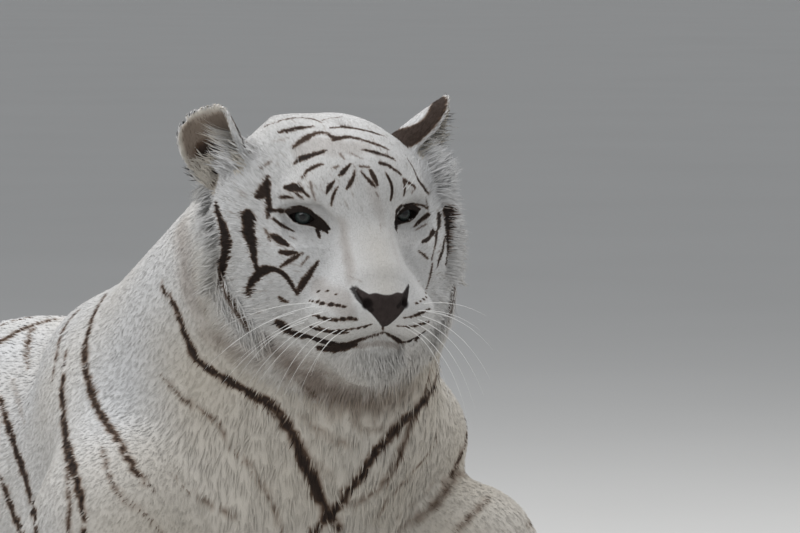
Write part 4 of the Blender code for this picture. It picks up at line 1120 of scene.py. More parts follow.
DOTS = [(318, 291, 1.5), (327, 290.5, 1.0), (336, 294, 1.0),
        (309, 300.5, 1.0), (312, 301, 1.3), (317, 301.5, 1.4), (322, 303, 1.7), (331, 304, 1.9), (338, 305, 1.4), (344, 306.5, 1.2),
        (312, 315, 1.2), (318, 317, 1.6), (324, 318.5, 1.7), (329, 319.5, 1.7), (335, 320, 1.8), (343, 319, 2.0), (350, 318.5, 1.6), (356, 319.5, 1.3),
        (319, 327.5, 1.4), (326, 330.5, 1.7), (332, 331.5, 1.8), (339, 331.5, 1.7), (346, 330.5, 1.5), (352, 329.5, 1.3), (359, 328.5, 1.3), (366, 327, 1.3), (371, 325, 1.0),
        (417, 303, 0.9), (421, 301, 1.0), (424, 299, 1.0), (427, 297, 0.9),
        (405, 318, 0.9), (411, 317, 1.2), (415, 315.5, 1.4), (419, 314, 1.4), (423, 312.5, 1.3), (427, 310.5, 1.2), (430, 309, 0.9),
        (398, 326.5, 1.0), (409, 327.5, 1.3), (415, 326.5, 1.5), (420, 325, 1.5), (425, 323.5, 1.4), (429, 322, 1.0)]
DOT_AT = onto_outline([d[:2] for d in DOTS], skin_distance)
for d, (_, _, r) in zip(DOT_AT, DOTS):
    h = to_head(d[None])[0]
    side_ = np.array([hp(h[0] + k * 0.0010, h[1] - k * 0.0012 * np.sign(h[1]), h[2]) for k in (-1, 1)])
    STROKES.append((side_, np.full(2, r * PX * 1.10), 0.95, 0.0009))
tick = np.random.default_rng(77)
head_dirs = tick.normal(size=(1400, 3))
head_dirs /= np.linalg.norm(head_dirs, axis=1)[:, None]
spots = settle(outline_distance, hp(-0.01, 0, -0.02) + head_dirs * 0.15, 12)
ht = to_head(spots)
bridge_ = (np.abs(ht[:, 1]) < 0.030) & (ht[:, 2] < -0.005) & (ht[:, 0] > 0.02)
muzzle_ = (ht[:, 0] > 0.045) & (ht[:, 2] < -0.060)
spots = spots[(ht[:, 0] > -0.085) & (ht[:, 2] > -0.125) & ~bridge_ & ~muzzle_ & (np.abs(outline_distance(spots)) < 0.002)][:230]
lie_t = traits(spots)[3]
for q_, l_ in zip(spots, lie_t):
    run_ = tick.uniform(0.004, 0.011)
    bend = tick.normal(0, 0.14, 3)
    path = np.array([q_ - l_ * run_, q_, q_ + (l_ + bend) * run_])
    STROKES.append((settle(outline_distance, path, 3), np.array((0.0003, tick.uniform(0.0006, 0.0011), 0.0003)), tick.uniform(0.16, 0.42), 0.0008))
clock("%d strokes" % len(STROKES))


def ease(x):
    x = np.clip(x, 0, 1)
    return x * x * (3 - 2 * x)


def waves(p, size, seed):
    """Smooth wandering value about 0, from a few plane waves."""
    r = np.random.default_rng(seed)
    out = np.zeros(len(p))
    for i in range(7):
        k = r.normal(size=3)
        k *= (0.7 + 0.9 * r.random()) / size / np.linalg.norm(k) * 2 * math.pi
        out += np.sin(p @ k + r.uniform(0, 6.28))
    return out / 2.6


def markings_and_shade(p):
    """Darkness of the coat (0 white, 1 black) at places on its outline, from its stripes and spots and from the painted
    shade.
    """
    mark = np.zeros(len(p))
    wob = 1.0 + 0.22 * waves(p, 0.022, 3)
    for path, width, dark, soft in STROKES:
        reach = width.max() * 1.5 + soft * 2 + 0.001
        i = near_points(p, path.min(0) - reach, path.max(0) + reach)
        if not len(i):
            continue
        q = p[i]
        best = np.full(len(i), -9.0)
        for a, b, wa, wb in zip(path[:-1], path[1:], width[:-1], width[1:]):
            ab = b - a
            t = np.clip((q - a) @ ab / max(ab @ ab, 1e-12), 0, 1)
            r = q - a - t[:, None] * ab
            best = np.maximum(best, (wa + (wb - wa) * t) * wob[i] - np.sqrt((r * r).sum(1)))
        mark[i] = np.maximum(mark[i], dark * ease((best + soft) / (2 * soft)))
    # tail: rings and a black end
    near = near_points(p, np.array((-1.6, -0.4, -0.1)), np.array((-1.03, 0.6, 0.30)))
    if len(near):
        q = p[near]
        best, where = np.full(len(q), 9.0), np.zeros(len(q))
        run = 0.0
        for a, b in zip(TP[:-1], TP[1:]):
            ab = b - a
            L = np.linalg.norm(ab)
            t = np.clip((q - a) @ ab / (L * L), 0, 1)
            d = np.linalg.norm(q - a - t[:, None] * ab, axis=1)
            where = np.where(d < best, run + t * L, where)
            best = np.minimum(best, d)
            run += L
        ring = where + 0.006 * waves(q, 0.06, 5)
        saw = np.abs((ring / 0.072) % 1.0 - 0.5)
        m = ease((0.17 + 0.05 * np.sin(ring * 31) - saw) / 0.06) * 0.92
        m = np.where(where < 0.05, 0, m)
        m = np.maximum(m, ease((where - (run - 0.075)) / 0.02))
        mark[near] = np.maximum(mark[near], m * (best < 0.09))
    # backs of the ears; inside them, painted shade deep in the cup and a grey-brown over the inner face that is partly
    # painted shade
    for s in (-1, 1):
        j = near_points(p, EARS[s][0] - 0.13, EARS[s][0] + 0.15)
        if len(j):
            u, phi, rho, radius = ear_coords(s, p[j])
            back = ease((rho - radius - 0.0012) / 0.002) * ease((u - 0.12) / 0.12) * (np.abs(ear_distance(s, p[j])) < 0.007) * (np.abs(phi) < 1.7)
            arc = np.abs(phi) * radius / np.maximum(ear_arc(np.clip(u, 0, 1)), 1e-4)
            spot = ease((1.0 - np.hypot(arc / 0.60, (u - 0.60) / 0.24)) / 0.22)
            edge = ease(((0.80 if s < 0 else 0.93) - arc) / 0.06) * ease(((0.86 if s < 0 else 0.97) - u) / 0.04)
            inside = ease((radius - rho - 0.0008) / 0.002) * (np.abs(ear_distance(s, p[j])) < 0.007) * (np.abs(phi) < 1.7)
            lean = np.sin(phi) * radius * s                        # positive towards the outer rim
            # painted shade: dark deep in the ear's cup, and a grey-brown over the inner face, stronger on the near ear,
            # partly painted shade
            cave_shade = inside * ease((0.80 - u) / 0.35) * ease((0.85 - arc) / 0.35) * ease((lean + 0.034) / 0.022)
            soft_in = inside * (0.50 if s < 0 else 0.19) * ease((0.97 - arc) / 0.2) * ease((0.95 - u) / 0.1)
            mark[j] = np.maximum(mark[j], np.maximum(np.maximum(back * edge * (1 - spot) * 0.82, cave_shade * 0.93), soft_in))
    return mark


def warmth(p):
    """How cream the white is."""
    h = to_head(p)
    w = 0.18 + 0.10 * waves(p, 0.25, 11)
    throat = ease((0.62 - p[:, 2]) / 0.16) * ease((p[:, 0] - 0.22) / 0.12)
    w = w + 0.55 * throat
    w = w + 0.30 * ease((0.16 - p[:, 2]) / 0.14)
    inhead = np.sqrt(((h - (-0.02, 0, -0.04)) ** 2).sum(1)) < 0.19
    w = np.where(inhead, w * 0.55 + 0.35 * ease((-0.02 - h[:, 2]) / 0.06) * ease((-h[:, 0] - 0.02) / 0.06), w)
    # bridge of the nose and below it
    w = w + 0.28 * np.exp(-((h[:, 1] / 0.022) ** 2)) * ease((0.02 - h[:, 2]) / 0.05) * ease((h[:, 0] - 0.03) / 0.03) * (h[:, 2] > -0.075)
    for s in (-1, 1):
        j = near_points(p, EARS[s][0] - 0.13, EARS[s][0] + 0.15)
        if len(j):
            u, phi, rho, radius = ear_coords(s, p[j])
            w[j] = np.maximum(w[j], 0.75 * ease((radius - rho) / 0.003) * (np.abs(ear_distance(s, p[j])) < 0.012) * (u > 0.0))
    return np.clip(w, 0, 1)

# ------------------------------------------------------------------ making pieces
def make(name, v, f, uv=None, normals=None, flags=None):
    mesh = bpy.data.meshes.new(name)
    mesh.vertices.add(len(v))
    mesh.vertices.foreach_set("co", (np.asarray(v) + OUT).astype(np.float32).ravel())
    mesh.loops.add(f.size)
    mesh.loops.foreach_set("vertex_index", f.ravel().astype(np.int32))
    mesh.polygons.add(len(f))
    mesh.polygons.foreach_set("loop_start", np.arange(0, f.size, f.shape[1], dtype=np.int32))
    mesh.polygons.foreach_set("use_smooth", np.ones(len(f), bool))
    mesh.update(calc_edges=True)
    if uv is not None:
        mesh.uv_layers.new(name="OFBake")
        mesh.uv_layers["OFBake"].data.foreach_set("uv", uv.astype(np.float32).ravel())
    for key, val in (flags or {}).items():
        mesh.attributes.new(key, "FLOAT", "POINT").data.foreach_set("value", np.asarray(val, np.float32))
    if normals is not None:
        mesh.normals_split_custom_set_from_vertices(normals.tolist() if not isinstance(normals, list) else normals)
    obj = bpy.data.objects.new(name, mesh)
    bpy.context.scene.collection.objects.link(obj)
    return obj


class Nodes:
    """Short hand for building a material."""

    def __init__(self, name):
        self.mat = bpy.data.materials.new(name)
        self.mat.use_nodes = True
        self.tree = self.mat.node_tree
        self.tree.nodes.clear()
        self.out = self.tree.nodes.new("ShaderNodeOutputMaterial")
        self.bsdf = self.tree.nodes.new("ShaderNodeBsdfPrincipled")
        self.tree.links.new(self.bsdf.outputs[0], self.out.inputs[0])

    def link(self, a, b):
        self.tree.links.new(a, b)

    def flag(self, name):
        n = self.tree.nodes.new("ShaderNodeAttribute")
        n.attribute_name = name
        return n.outputs["Fac"]

    def number(self, op, a, b=0.0, c=None, clamp=False):
        n = self.tree.nodes.new("ShaderNodeMath")
        n.operation, n.use_clamp = op, clamp
        for i, x in enumerate((a, b, c)):
            if x is None:
                continue
            if isinstance(x, (int, float)):
                n.inputs[i].default_value = x
            else:
                self.link(x, n.inputs[i])
        return n.outputs[0]

    def mix(self, f, a, b, how="MIX"):
        n = self.tree.nodes.new("ShaderNodeMix")
        n.data_type, n.blend_type = "RGBA", how
        for i, x in ((0, f), (6, a), (7, b)):
            if isinstance(x, (int, float)):
                n.inputs[i].default_value = x
            elif isinstance(x, tuple):
                n.inputs[i].default_value = (*x, 1.0)
            else:
                self.link(x, n.inputs[i])
        return n.outputs[2]

    def noise(self, scale, detail=3.0, rough=0.5, stretch=None):
        co = self.tree.nodes.new("ShaderNodeTexCoord").outputs["Object"]
        if stretch is not None:
            m = self.tree.nodes.new("ShaderNodeMapping")
            m.inputs["Scale"].default_value = stretch
            self.link(co, m.inputs[0])
            co = m.outputs[0]
        n = self.tree.nodes.new("ShaderNodeTexNoise")
        n.inputs["Scale"].default_value, n.inputs["Detail"].default_value, n.inputs["Roughness"].default_value = scale, detail, rough
        self.link(co, n.inputs["Vector"])
        return n.outputs[0]

    def steps(self, f, stops):
        n = self.tree.nodes.new("ShaderNodeValToRGB")
        n.color_ramp.elements[0].position, n.color_ramp.elements[0].color = stops[0][0], (*stops[0][1], 1)
        n.color_ramp.elements[1].position, n.color_ramp.elements[1].color = stops[-1][0], (*stops[-1][1], 1)
        for p, c in stops[1:-1]:
            e = n.color_ramp.elements.new(p)
            e.color = (*c, 1)
        self.link(f, n.inputs[0])
        return n.outputs[0]

    def bump(self, h, strength, depth):
        n = self.tree.nodes.new("ShaderNodeBump")
        n.inputs["Strength"].default_value, n.inputs["Distance"].default_value = strength, depth
        self.link(h, n.inputs["Height"])
        self.link(n.outputs[0], self.bsdf.inputs["Normal"])

    def rough(self, r, spec=0.3):
        self.bsdf.inputs["Roughness"].default_value = r
        self.bsdf.inputs["Specular IOR Level"].default_value = spec


WHITE, CREAM = (0.66, 0.665, 0.67), (0.60, 0.545, 0.455)


def coat_colour(n, along=None):
    """The colour that the skin and the coat share: white to cream, then brown to black in the stripes and spots and in
    the painted shade.
    """
    base = n.mix(n.flag("warm"), WHITE, CREAM)
    tint = n.noise(9.0, 4.0, 0.6)
    base = n.mix(n.number("MULTIPLY", tint, 0.35), base, n.mix(0.5, base, (0.50, 0.43, 0.35)))
    mark = n.flag("mark")
    dark = n.steps(mark, [(0.0, (0.30, 0.22, 0.16)), (0.45, (0.150, 0.098, 0.066)), (0.8, (0.045, 0.030, 0.023)), (1.0, (0.020, 0.015, 0.013))])
    cover = n.number("MULTIPLY", n.number("SUBTRACT", mark, 0.04), 1.75, clamp=True)
    return n.mix(cover, base, dark)


skin_mat = Nodes("skin_fur")
c = coat_colour(skin_mat)
# painted shade: the skin under the coat is darkened a little, for the shade deep in the fur
c = skin_mat.mix(0.06, c, (0.30, 0.25, 0.21), "MULTIPLY")
leather_c = skin_mat.mix(skin_mat.noise(160, 3), (0.024, 0.017, 0.015), (0.054, 0.041, 0.038))
c = skin_mat.mix(skin_mat.flag("leather"), c, leather_c)
# painted shade: near black in the nostrils, the slits of the nose wings and the mouth's groove
c = skin_mat.mix(skin_mat.flag("hole"), c, (0.012, 0.008, 0.007))
skin_mat.link(c, skin_mat.bsdf.inputs["Base Color"])
skin_mat.rough(0.80, 0.14)
fine = skin_mat.noise(300, 3, 0.65, (1, 1, 0.45))
skin_mat.bump(fine, 0.80, 0.0018)

coat_mat = Nodes("coat")
c = coat_colour(coat_mat)
along = coat_mat.flag("along")
# painted shade: each tuft is darker towards its root, for the shade deep in the coat
c = coat_mat.mix(coat_mat.number("MULTIPLY", coat_mat.number("SUBTRACT", 1.0, along), 0.16), c, (0.42, 0.36, 0.31), "MULTIPLY")
c = coat_mat.mix(1.0, c, coat_mat.steps(coat_mat.flag("shade"), [(0.0, (0.74, 0.735, 0.725)), (1.0, (1.12, 1.12, 1.12))]), "MULTIPLY")
coat_mat.link(c, coat_mat.bsdf.inputs["Base Color"])
coat_mat.rough(0.80, 0.12)
coat_mat.bump(coat_mat.noise(900, 2, 0.5, (1, 1, 0.3)), 0.25, 0.0006)

N = normals_of(V, F)
depth_v, _, _, _ = traits(V)
hv = to_head(V)
SURF = V + N * depth_v[:, None]
mark_v = markings_and_shade(SURF)
lidmask = np.zeros(len(V))
hollow_shade_v = np.zeros(len(V))
for s in (-1, 1):
    near = np.sqrt(((V - EYE_AT[s]) ** 2).sum(1)) < 0.045
    lid, w = rim_distance(s, V[near])
    lidmask[near] = np.maximum(lidmask[near], ease((0.0016 - lid) / 0.0018) * (w > 0.0))
    # painted shade: the nostrils and their slits painted near black, for the dark inside them
    n_ = np.array((NOSTRIL[0], s * abs(NOSTRIL[1]), NOSTRIL[2]))
    hollow_shade_v = np.maximum(hollow_shade_v, ease((0.0078 - np.sqrt((((hv - (n_ + (0.0, 0, 0))) / (1.6, 1.0, 1.1)) ** 2).sum(1))) / 0.0030))
    hollow_shade_v = np.maximum(hollow_shade_v, 0.8 * ease((0.0034 - nearest_on(np.array((n_ + (0.001, s * 0.003, 0.000), n_ + (-0.014, s * 0.0150, 0.0125))), hv)) / 0.0020))
# painted shade: the slits up the wings of the nose and the groove of the mouth painted near black
for path_, half_ in ((WING_NEAR, 0.0032), (WING_FAR, 0.0024)):
    hollow_shade_v = np.maximum(hollow_shade_v, 0.92 * ease((half_ + 0.0005 - nearest_on(path_, V)) / 0.0010))
for m in MOUTH:
    hollow_shade_v = np.maximum(hollow_shade_v, 0.85 * ease((0.0028 - nearest_on(m, V)) / 0.0014))
leather_v = ease(leather(hv) / 0.0012 + 0.5) * (hv[:, 0] > 0.05)
SKIN = make("skin", V, F, UV, None, {
    "mark": np.maximum(mark_v, 0.97 * lidmask), "warm": warmth(SURF), "leather": leather_v, "hole": hollow_shade_v})
SKIN.data.materials.append(skin_mat.mat)
clock("skin painted")

# ------------------------------------------------------------------ the coat: tufts laid along it
TUFTS = 150000


def density(p):
    """Tufts wanted per square metre, from their size there."""
    depth, length, width, _ = traits(p)
    return 1.0 / (width * length * 0.30)


tri_mid = V[F].mean(1)
area = np.linalg.norm(np.cross(V[F[:, 1]] - V[F[:, 0]], V[F[:, 2]] - V[F[:, 0]]), axis=1) / 2
dens = density(tri_mid)
facing = (N[F].mean(1) @ np.array((0, 0, 1.0)))
under = (tri_mid[:, 2] < SINK + 0.012) | ((facing < -0.8) & (tri_mid[:, 2] < 0.06))
dens[under] = 0
hm = to_head(tri_mid)
clearing = np.zeros(len(F), bool)
for s in (-1, 1):
    near = np.sqrt(((tri_mid - EYE_AT[s]) ** 2).sum(1)) < 0.05
    lid, w = rim_distance(s, tri_mid[near])
    clearing[np.flatnonzero(near)[(lid < 0.0004)]] = True
clearing |= (leather(hm) > -0.0010) & (hm[:, 0] > 0.05)
for m in MOUTH:
    clearing |= nearest_on(m, tri_mid) < 0.0022
clearing |= hollow_shade_v[F].max(1) > 0.15
dens[clearing] = 0
# shares of the tufts: the head, the fore part that is seen from nearby, and the coarser rear
head_zone = np.sqrt(((hm - (-0.02, 0, -0.03)) ** 2).sum(1)) < 0.19
rearward = ease((-tri_mid[:, 0] + 0.02) / 0.30)
chance = area * dens * (1.0 - 0.30 * ease((tri_mid[:, 1] - 0.05) / 0.10)) * np.where(head_zone, 1.0, (1.0 - 0.72 * rearward))
body_zone = ~head_zone & (tri_mid[:, 0] > -0.02)
rear_zone = ~head_zone & ~body_zone
print("tufts for one full layer: %d, head %d, fore %d" % (chance.sum(), chance[head_zone].sum(), chance[body_zone].sum()))
for zone, share in ((head_zone, 0.40), (body_zone, 0.38), (rear_zone, 0.22)):
    chance[zone] *= share / chance[zone].sum()
pick = np.searchsorted(np.cumsum(chance) / chance.sum(), (np.arange(TUFTS) + rng.random(TUFTS)) / TUFTS)
pick = np.clip(pick, 0, len(F) - 1)
a, b = rng.random((2, TUFTS))
over = a + b > 1
a[over], b[over] = 1 - a[over], 1 - b[over]
bary = np.stack((1 - a - b, a, b), 1)
root = (V[F[pick]] * bary[:, :, None]).sum(1)
nrm = (N[F[pick]] * bary[:, :, None]).sum(1)
nrm /= np.linalg.norm(nrm, axis=1)[:, None]
uv_root = (UV[pick] * bary[:, :, None]).sum(1)
mark_root = (mark_v[F[pick]] * bary).sum(1)
depth, length, width, lie = traits(root)
# locks: neighbouring tufts lean the same way
swirl = np.stack((waves(root, 0.035, 21), waves(root, 0.035, 22), waves(root, 0.035, 23)), 1)
loose = np.clip((depth - 0.003) / 0.012, 0, 1)
lie = lie + swirl * (0.10 + 0.16 * loose)[:, None] + rng.normal(0, 1, (TUFTS, 3)) * (0.11 + 0.07 * loose)[:, None]
lie -= nrm * (lie * nrm).sum(1)[:, None]
lie /= np.maximum(np.linalg.norm(lie, axis=1), 1e-6)[:, None]
across = np.cross(nrm, lie)
length = length * rng.uniform(0.72, 1.22, TUFTS)
rear = ease((-root[:, 0] + 0.02) / 0.30)
width = width * rng.uniform(0.70, 1.15, TUFTS) * (1.0 + 0.95 * rear)
length = length * (1.0 + 0.35 * rear)
full_coat = np.clip((depth - 0.0045) / 0.004, 0, 1)
lift = rng.uniform(0.35, 0.98, TUFTS) + 0.30 * full_coat * rng.random(TUFTS)


def on_level(p, level, n, fn=outline_distance):
    """Moves points along their own normal until the outline is this far away."""
    for _ in range(2):
        d = fn(p)
        p = p + n * np.clip(level - d, -0.02, 0.02)[:, None]
    return p


tip = root + lie * length[:, None]
mid = root + lie * (length * 0.46)[:, None]
hr = to_head(root)
facial = (np.sqrt(((hr - (0.02, 0, -0.04)) ** 2).sum(1)) < 0.15) & (hr[:, 0] > -0.06)
for spots in PAWS:
    facial |= ((root > spots.min(0) - 0.02) & (root < spots.max(0) + 0.02)).all(1)
facial = np.flatnonzero(facial)
rest = np.setdiff1d(np.arange(TUFTS), facial)
tip += nrm * (depth * 0.5)[:, None]
mid += nrm * (depth * 0.5)[:, None]
tip_level, mid_level = -depth * (1 - lift) - 0.0004, -depth * (1 - lift * 0.62) - 0.0002
for who_, fn_ in ((rest, outline_distance), (facial, skin_distance)):
    tip[who_] = on_level(tip[who_], tip_level[who_], nrm[who_], fn_)
    mid[who_] = on_level(mid[who_], mid_level[who_], nrm[who_], fn_)
# a lock that would be stretched by the shape keeps its length
seg = tip - mid
long_ = np.linalg.norm(seg, axis=1)
tip = mid + seg * np.minimum(1.0, length * 0.75 / np.maximum(long_, 1e-6))[:, None]
tip[:, 2] = np.maximum(tip[:, 2], SINK + 0.0008)
mid[:, 2] = np.maximum(mid[:, 2], SINK + 0.0012)
base = root - nrm * 0.0009
# locks of their own: hair across the ears, at their foot, the fringe of the far cheek, the chin and the ruff's edge
EXTRA = []


def spray(mask, count, way, long, wide, rise=0.25, jitter=0.22, dark=np.nan):
    """Locks rooted on the masked triangles that all go about one way."""
    idx = np.flatnonzero(mask & ~clearing)
    if not len(idx) or not count:
        return
    c = np.cumsum(area[idx])
    chosen = idx[np.clip(np.searchsorted(c / c[-1], (np.arange(count) + rng.random(count)) / count), 0, len(idx) - 1)]
    r1, r2 = rng.random((2, count))
    flip = r1 + r2 > 1
    r1[flip], r2[flip] = 1 - r1[flip], 1 - r2[flip]
    w3 = np.stack((1 - r1 - r2, r1, r2), 1)
    foot = (V[F[chosen]] * w3[:, :, None]).sum(1)
    n_ = (N[F[chosen]] * w3[:, :, None]).sum(1)
    n_ /= np.linalg.norm(n_, axis=1)[:, None]
    d_ = np.asarray(way) / np.linalg.norm(way) + rng.normal(0, jitter, (count, 3)) + n_ * rise
    d_ /= np.linalg.norm(d_, axis=1)[:, None]
    L_ = long * rng.uniform(0.65, 1.20, count)
    x_ = np.cross(n_, d_)
    x_ /= np.maximum(np.linalg.norm(x_, axis=1), 1e-6)[:, None]
    EXTRA.append((foot - n_ * 0.0009, foot + d_ * (L_ * 0.5)[:, None] + n_ * (L_ * 0.08)[:, None], foot + d_ * L_[:, None], n_, d_, x_,
                  wide * rng.uniform(0.7, 1.2, count), traits(foot)[0], foot, (UV[chosen] * w3[:, :, None]).sum(1),
                  np.ones(count), (mark_v[F[chosen]] * w3).sum(1), np.full(count, dark)))


def around_spots(spots, reach, mirrored=False):
    out = np.zeros(len(F), bool)
    at_ = onto_outline(spots)
    if mirrored:
        at_ = mirror_head(at_)
    for q_ in at_:
        out |= np.sqrt(((tri_mid - q_) ** 2).sum(1)) < reach
    return out


def mirrored_way(way):
    return HEAD_ROT @ ((np.asarray(way) @ HEAD_ROT) * (1, -1, 1))


for s in (-1, 1):
    up_, face_, across_ = EARS[s][1:]
    u_, phi_, rho_, rad_ = ear_coords(s, tri_mid)
    inner_side = (np.abs(ear_distance(s, tri_mid)) < 0.007) & (rho_ < rad_) & (np.abs(phi_) < 1.7)
    spray(inner_side & (np.sin(phi_) * s < -0.10) & (u_ > 0.04) & (u_ < 0.62), 150 if s < 0 else 230, up_ * 0.62 + across_ * s * 0.78, 0.036, 0.00105, 0.22, 0.10, 0.07)
    spray(inner_side & (u_ > 0.02) & (u_ < 0.30), 120, up_ * 0.9 + across_ * s * 0.3, 0.020, 0.0012, 0.45, 0.22, 0.04)
FLUFF = [(208, 172), (218, 168), (230, 164), (240, 157), (248, 149)]
WAY = -RIGHT * 0.78 + UP * 0.42 + BACK * 0.25
spray(around_spots(FLUFF, 0.015), 420, WAY, 0.019, 0.0015, 0.30, 0.20, 0.0)
spray(around_spots(FLUFF, 0.015, True), 300, mirrored_way(WAY), 0.019, 0.0015, 0.30, 0.20, 0.0)
spray(around_spots([(424, 146), (430, 154), (436, 164), (440, 174)], 0.018), 520, RIGHT * 0.85 + UP * 0.42, 0.024, 0.0015, 0.35, 0.20)
spray(around_spots([(444, 186), (449, 200), (452, 215), (453, 232), (453, 250), (452, 268)], 0.018), 560, RIGHT * 0.80 - UP * 0.10 - BACK * 0.2, 0.017, 0.0015, 0.20, 0.20)
u_, phi_, rho_, rad_ = ear_coords(1, tri_mid)
spray((np.abs(ear_distance(1, tri_mid)) < 0.007) & (rho_ < rad_) & (np.abs(phi_) < 1.7) & (u_ > 0.05) & (u_ < 0.80), 380, RIGHT * 0.75 + UP * 0.35 + EARS[1][2] * 0.3, 0.017, 0.0013, 0.30, 0.22, 0.0)
spray(around_spots([(362, 358), (372, 362), (384, 364), (396, 360), (404, 352), (378, 372), (390, 371)], 0.012), 620, -UP * 0.90 + BACK * 0.10, 0.017, 0.0014, 0.25, 0.20)
RUFF = [(206, 190), (208, 204), (210, 220), (213, 236), (214, 252), (212, 268), (210, 284)]
WAY = -RIGHT * 0.72 - UP * 0.50 + BACK * 0.10
spray(around_spots(RUFF, 0.009), 520, WAY, 0.021, 0.0013, 0.16, 0.16)
spray(around_spots(RUFF, 0.009, True), 380, mirrored_way(WAY), 0.021, 0.0013, 0.16, 0.16)
EDGE = [(216, 276), (220, 290), (226, 302), (233, 314), (242, 326), (254, 338)]
WAY = -UP * 0.80 + RIGHT * 0.30 + BACK * 0.1
spray(around_spots(EDGE, 0.016), 280, WAY, 0.022, 0.0013, 0.12, 0.15)
spray(around_spots(EDGE, 0.016, True), 200, mirrored_way(WAY), 0.022, 0.0013, 0.12, 0.15)
whole = [base, mid, tip, nrm, lie, across, width, depth, root, uv_root, lift, mark_root, np.full(TUFTS, np.nan)]
if EXTRA:
    whole = [np.concatenate([w_] + [e_[k] for e_ in EXTRA]) for k, w_ in enumerate(whole)]
base, mid, tip, nrm, lie, across, width, depth, root, uv_root, lift, mark_root, forced = whole
TUFTS = len(base)
print("locks of their own:", sum(len(e_[0]) for e_ in EXTRA))
keep = np.ones(TUFTS, bool)
for s in (-1, 1):
    for q_ in (tip, mid):
        near = np.flatnonzero(np.sqrt(((q_ - EYE_AT[s]) ** 2).sum(1)) < 0.045)
        lid, w = rim_distance(s, q_[near])
        keep[near[(lid < 0.0000) & (w > 0)]] = False
for q_ in (tip, mid):
    hq = to_head(q_)
    keep &= ~((leather(hq) > 0.0004) & (hq[:, 0] > 0.05))
    for m in MOUTH:
        keep &= nearest_on(m, q_) > 0.0016
(base, mid, tip, nrm, lie, across, width, depth, root, uv_root, lift, mark_root, forced) = [
    a_[keep] for a_ in (base, mid, tip, nrm, lie, across, width, depth, root, uv_root, lift, mark_root, forced)]
TUFTS = int(keep.sum())
thick = width * 0.30
seen = tip + nrm * (depth * (1 - lift))[:, None]
smear = rng.normal(0, 1, TUFTS) * (0.0006 + 0.17 * depth)
smear = lie * smear[:, None]
root_mark = np.where(np.isnan(forced), markings_and_shade(root + nrm * depth[:, None] + smear), mark_root)
mid_mark = markings_and_shade(mid + nrm * (depth * (1 - lift * 0.62))[:, None] + smear)
tip_mark = 0.75 * markings_and_shade(seen + smear) + 0.25 * mid_mark
for s in (-1, 1):
    near = np.flatnonzero(np.sqrt(((root - EYE_AT[s]) ** 2).sum(1)) < 0.045)
    lid, w = rim_distance(s, root[near])
    rim_ = 0.97 * ease((0.0016 - lid) / 0.0016) * (w > 0.0)
    root_mark[near] = np.maximum(root_mark[near], rim_)
tuft_warm = warmth(seen)
tuft_mark = np.stack([root_mark] * 3 + [mid_mark] * 3 + [tip_mark], 1)
tuft_mark = np.where(np.isnan(forced)[:, None], tuft_mark, forced[:, None])
hr_all = to_head(root)
shade = np.clip(0.5 + (0.09 + 0.11 * np.clip((depth - 0.004) / 0.006, 0, 1) + 0.17 * (np.sqrt(((hr_all - (-0.02, 0, -0.03)) ** 2).sum(1)) < 0.17)) * rng.normal(size=TUFTS) + 0.08 * waves(root, 0.03, 31), 0, 1)
clock("tufts placed")

ring = np.array(((-0.5, -0.25), (0.5, -0.25), (0.0, 0.75)))
verts = np.empty((TUFTS, 7, 3))
norms = np.empty((TUFTS, 7, 3))
round_ = 0.30 + 0.40 * np.clip((depth - 0.004) / 0.006, 0, 1)
for k, (cx, cn) in enumerate(ring):
    off = across * (width * cx)[:, None] + nrm * (thick * cn)[:, None]
    verts[:, k] = base + off * 0.85
    verts[:, 3 + k] = mid + off
    norms[:, k] = norms[:, 3 + k] = nrm + across * (cx * round_)[:, None]
verts[:, 6] = tip
norms[:, 6] = nrm + lie * (round_ * 0.3)[:, None]
norms += (across * rng.normal(0, 0.20, TUFTS)[:, None] + lie * rng.normal(0, 0.13, TUFTS)[:, None])[:, None]
norms /= np.linalg.norm(norms, axis=2)[:, :, None]
one = np.array(((0, 1, 4), (0, 4, 3), (1, 2, 5), (1, 5, 4), (2, 0, 3), (2, 3, 5), (3, 4, 6), (4, 5, 6), (5, 3, 6)))
patch = np.array(((-1, -1), (1, -1), (0, -1), (-1, 0.1), (1, 0.1), (0, 0.1), (0, 1))) * 0.0015
along_v = np.array((0, 0, 0, 0.5, 0.5, 0.5, 1.0))
front = root[:, 0] > -0.02
layers = [("front", np.flatnonzero(front)), ("rear", np.flatnonzero(~front))]
COATS = []
for label, who in layers:
    count = max(1, math.ceil(len(who) * 9 / 190000))
    who = who[np.argsort(rng.random(len(who)))]
    for k, part in enumerate(np.array_split(who, count)):
        n = len(part)
        f = (one[None] + (np.arange(n) * 7)[:, None, None]).reshape(-1, 3)
        uvv = uv_root[part][:, None] + patch[None]
        uvc = uvv.reshape(-1, 2)[f]
        o = make("coat_%s_%d" % (label, k + 1), verts[part].reshape(-1, 3), f, uvc, norms[part].reshape(-1, 3), {
            "mark": tuft_mark[part].ravel(), "warm": np.repeat(tuft_warm[part], 7),
            "shade": np.repeat(shade[part], 7), "along": np.tile(along_v, n)})
        o.data.materials.append(coat_mat.mat)
        COATS.append(o)
clock("coat: %d tufts, %d triangles in %d pieces" % (TUFTS, TUFTS * 9, len(COATS)))

# ------------------------------------------------------------------ eyes
IRIS_AT = {-1: (302.5, 217.0), 1: (405.5, 213.5)}


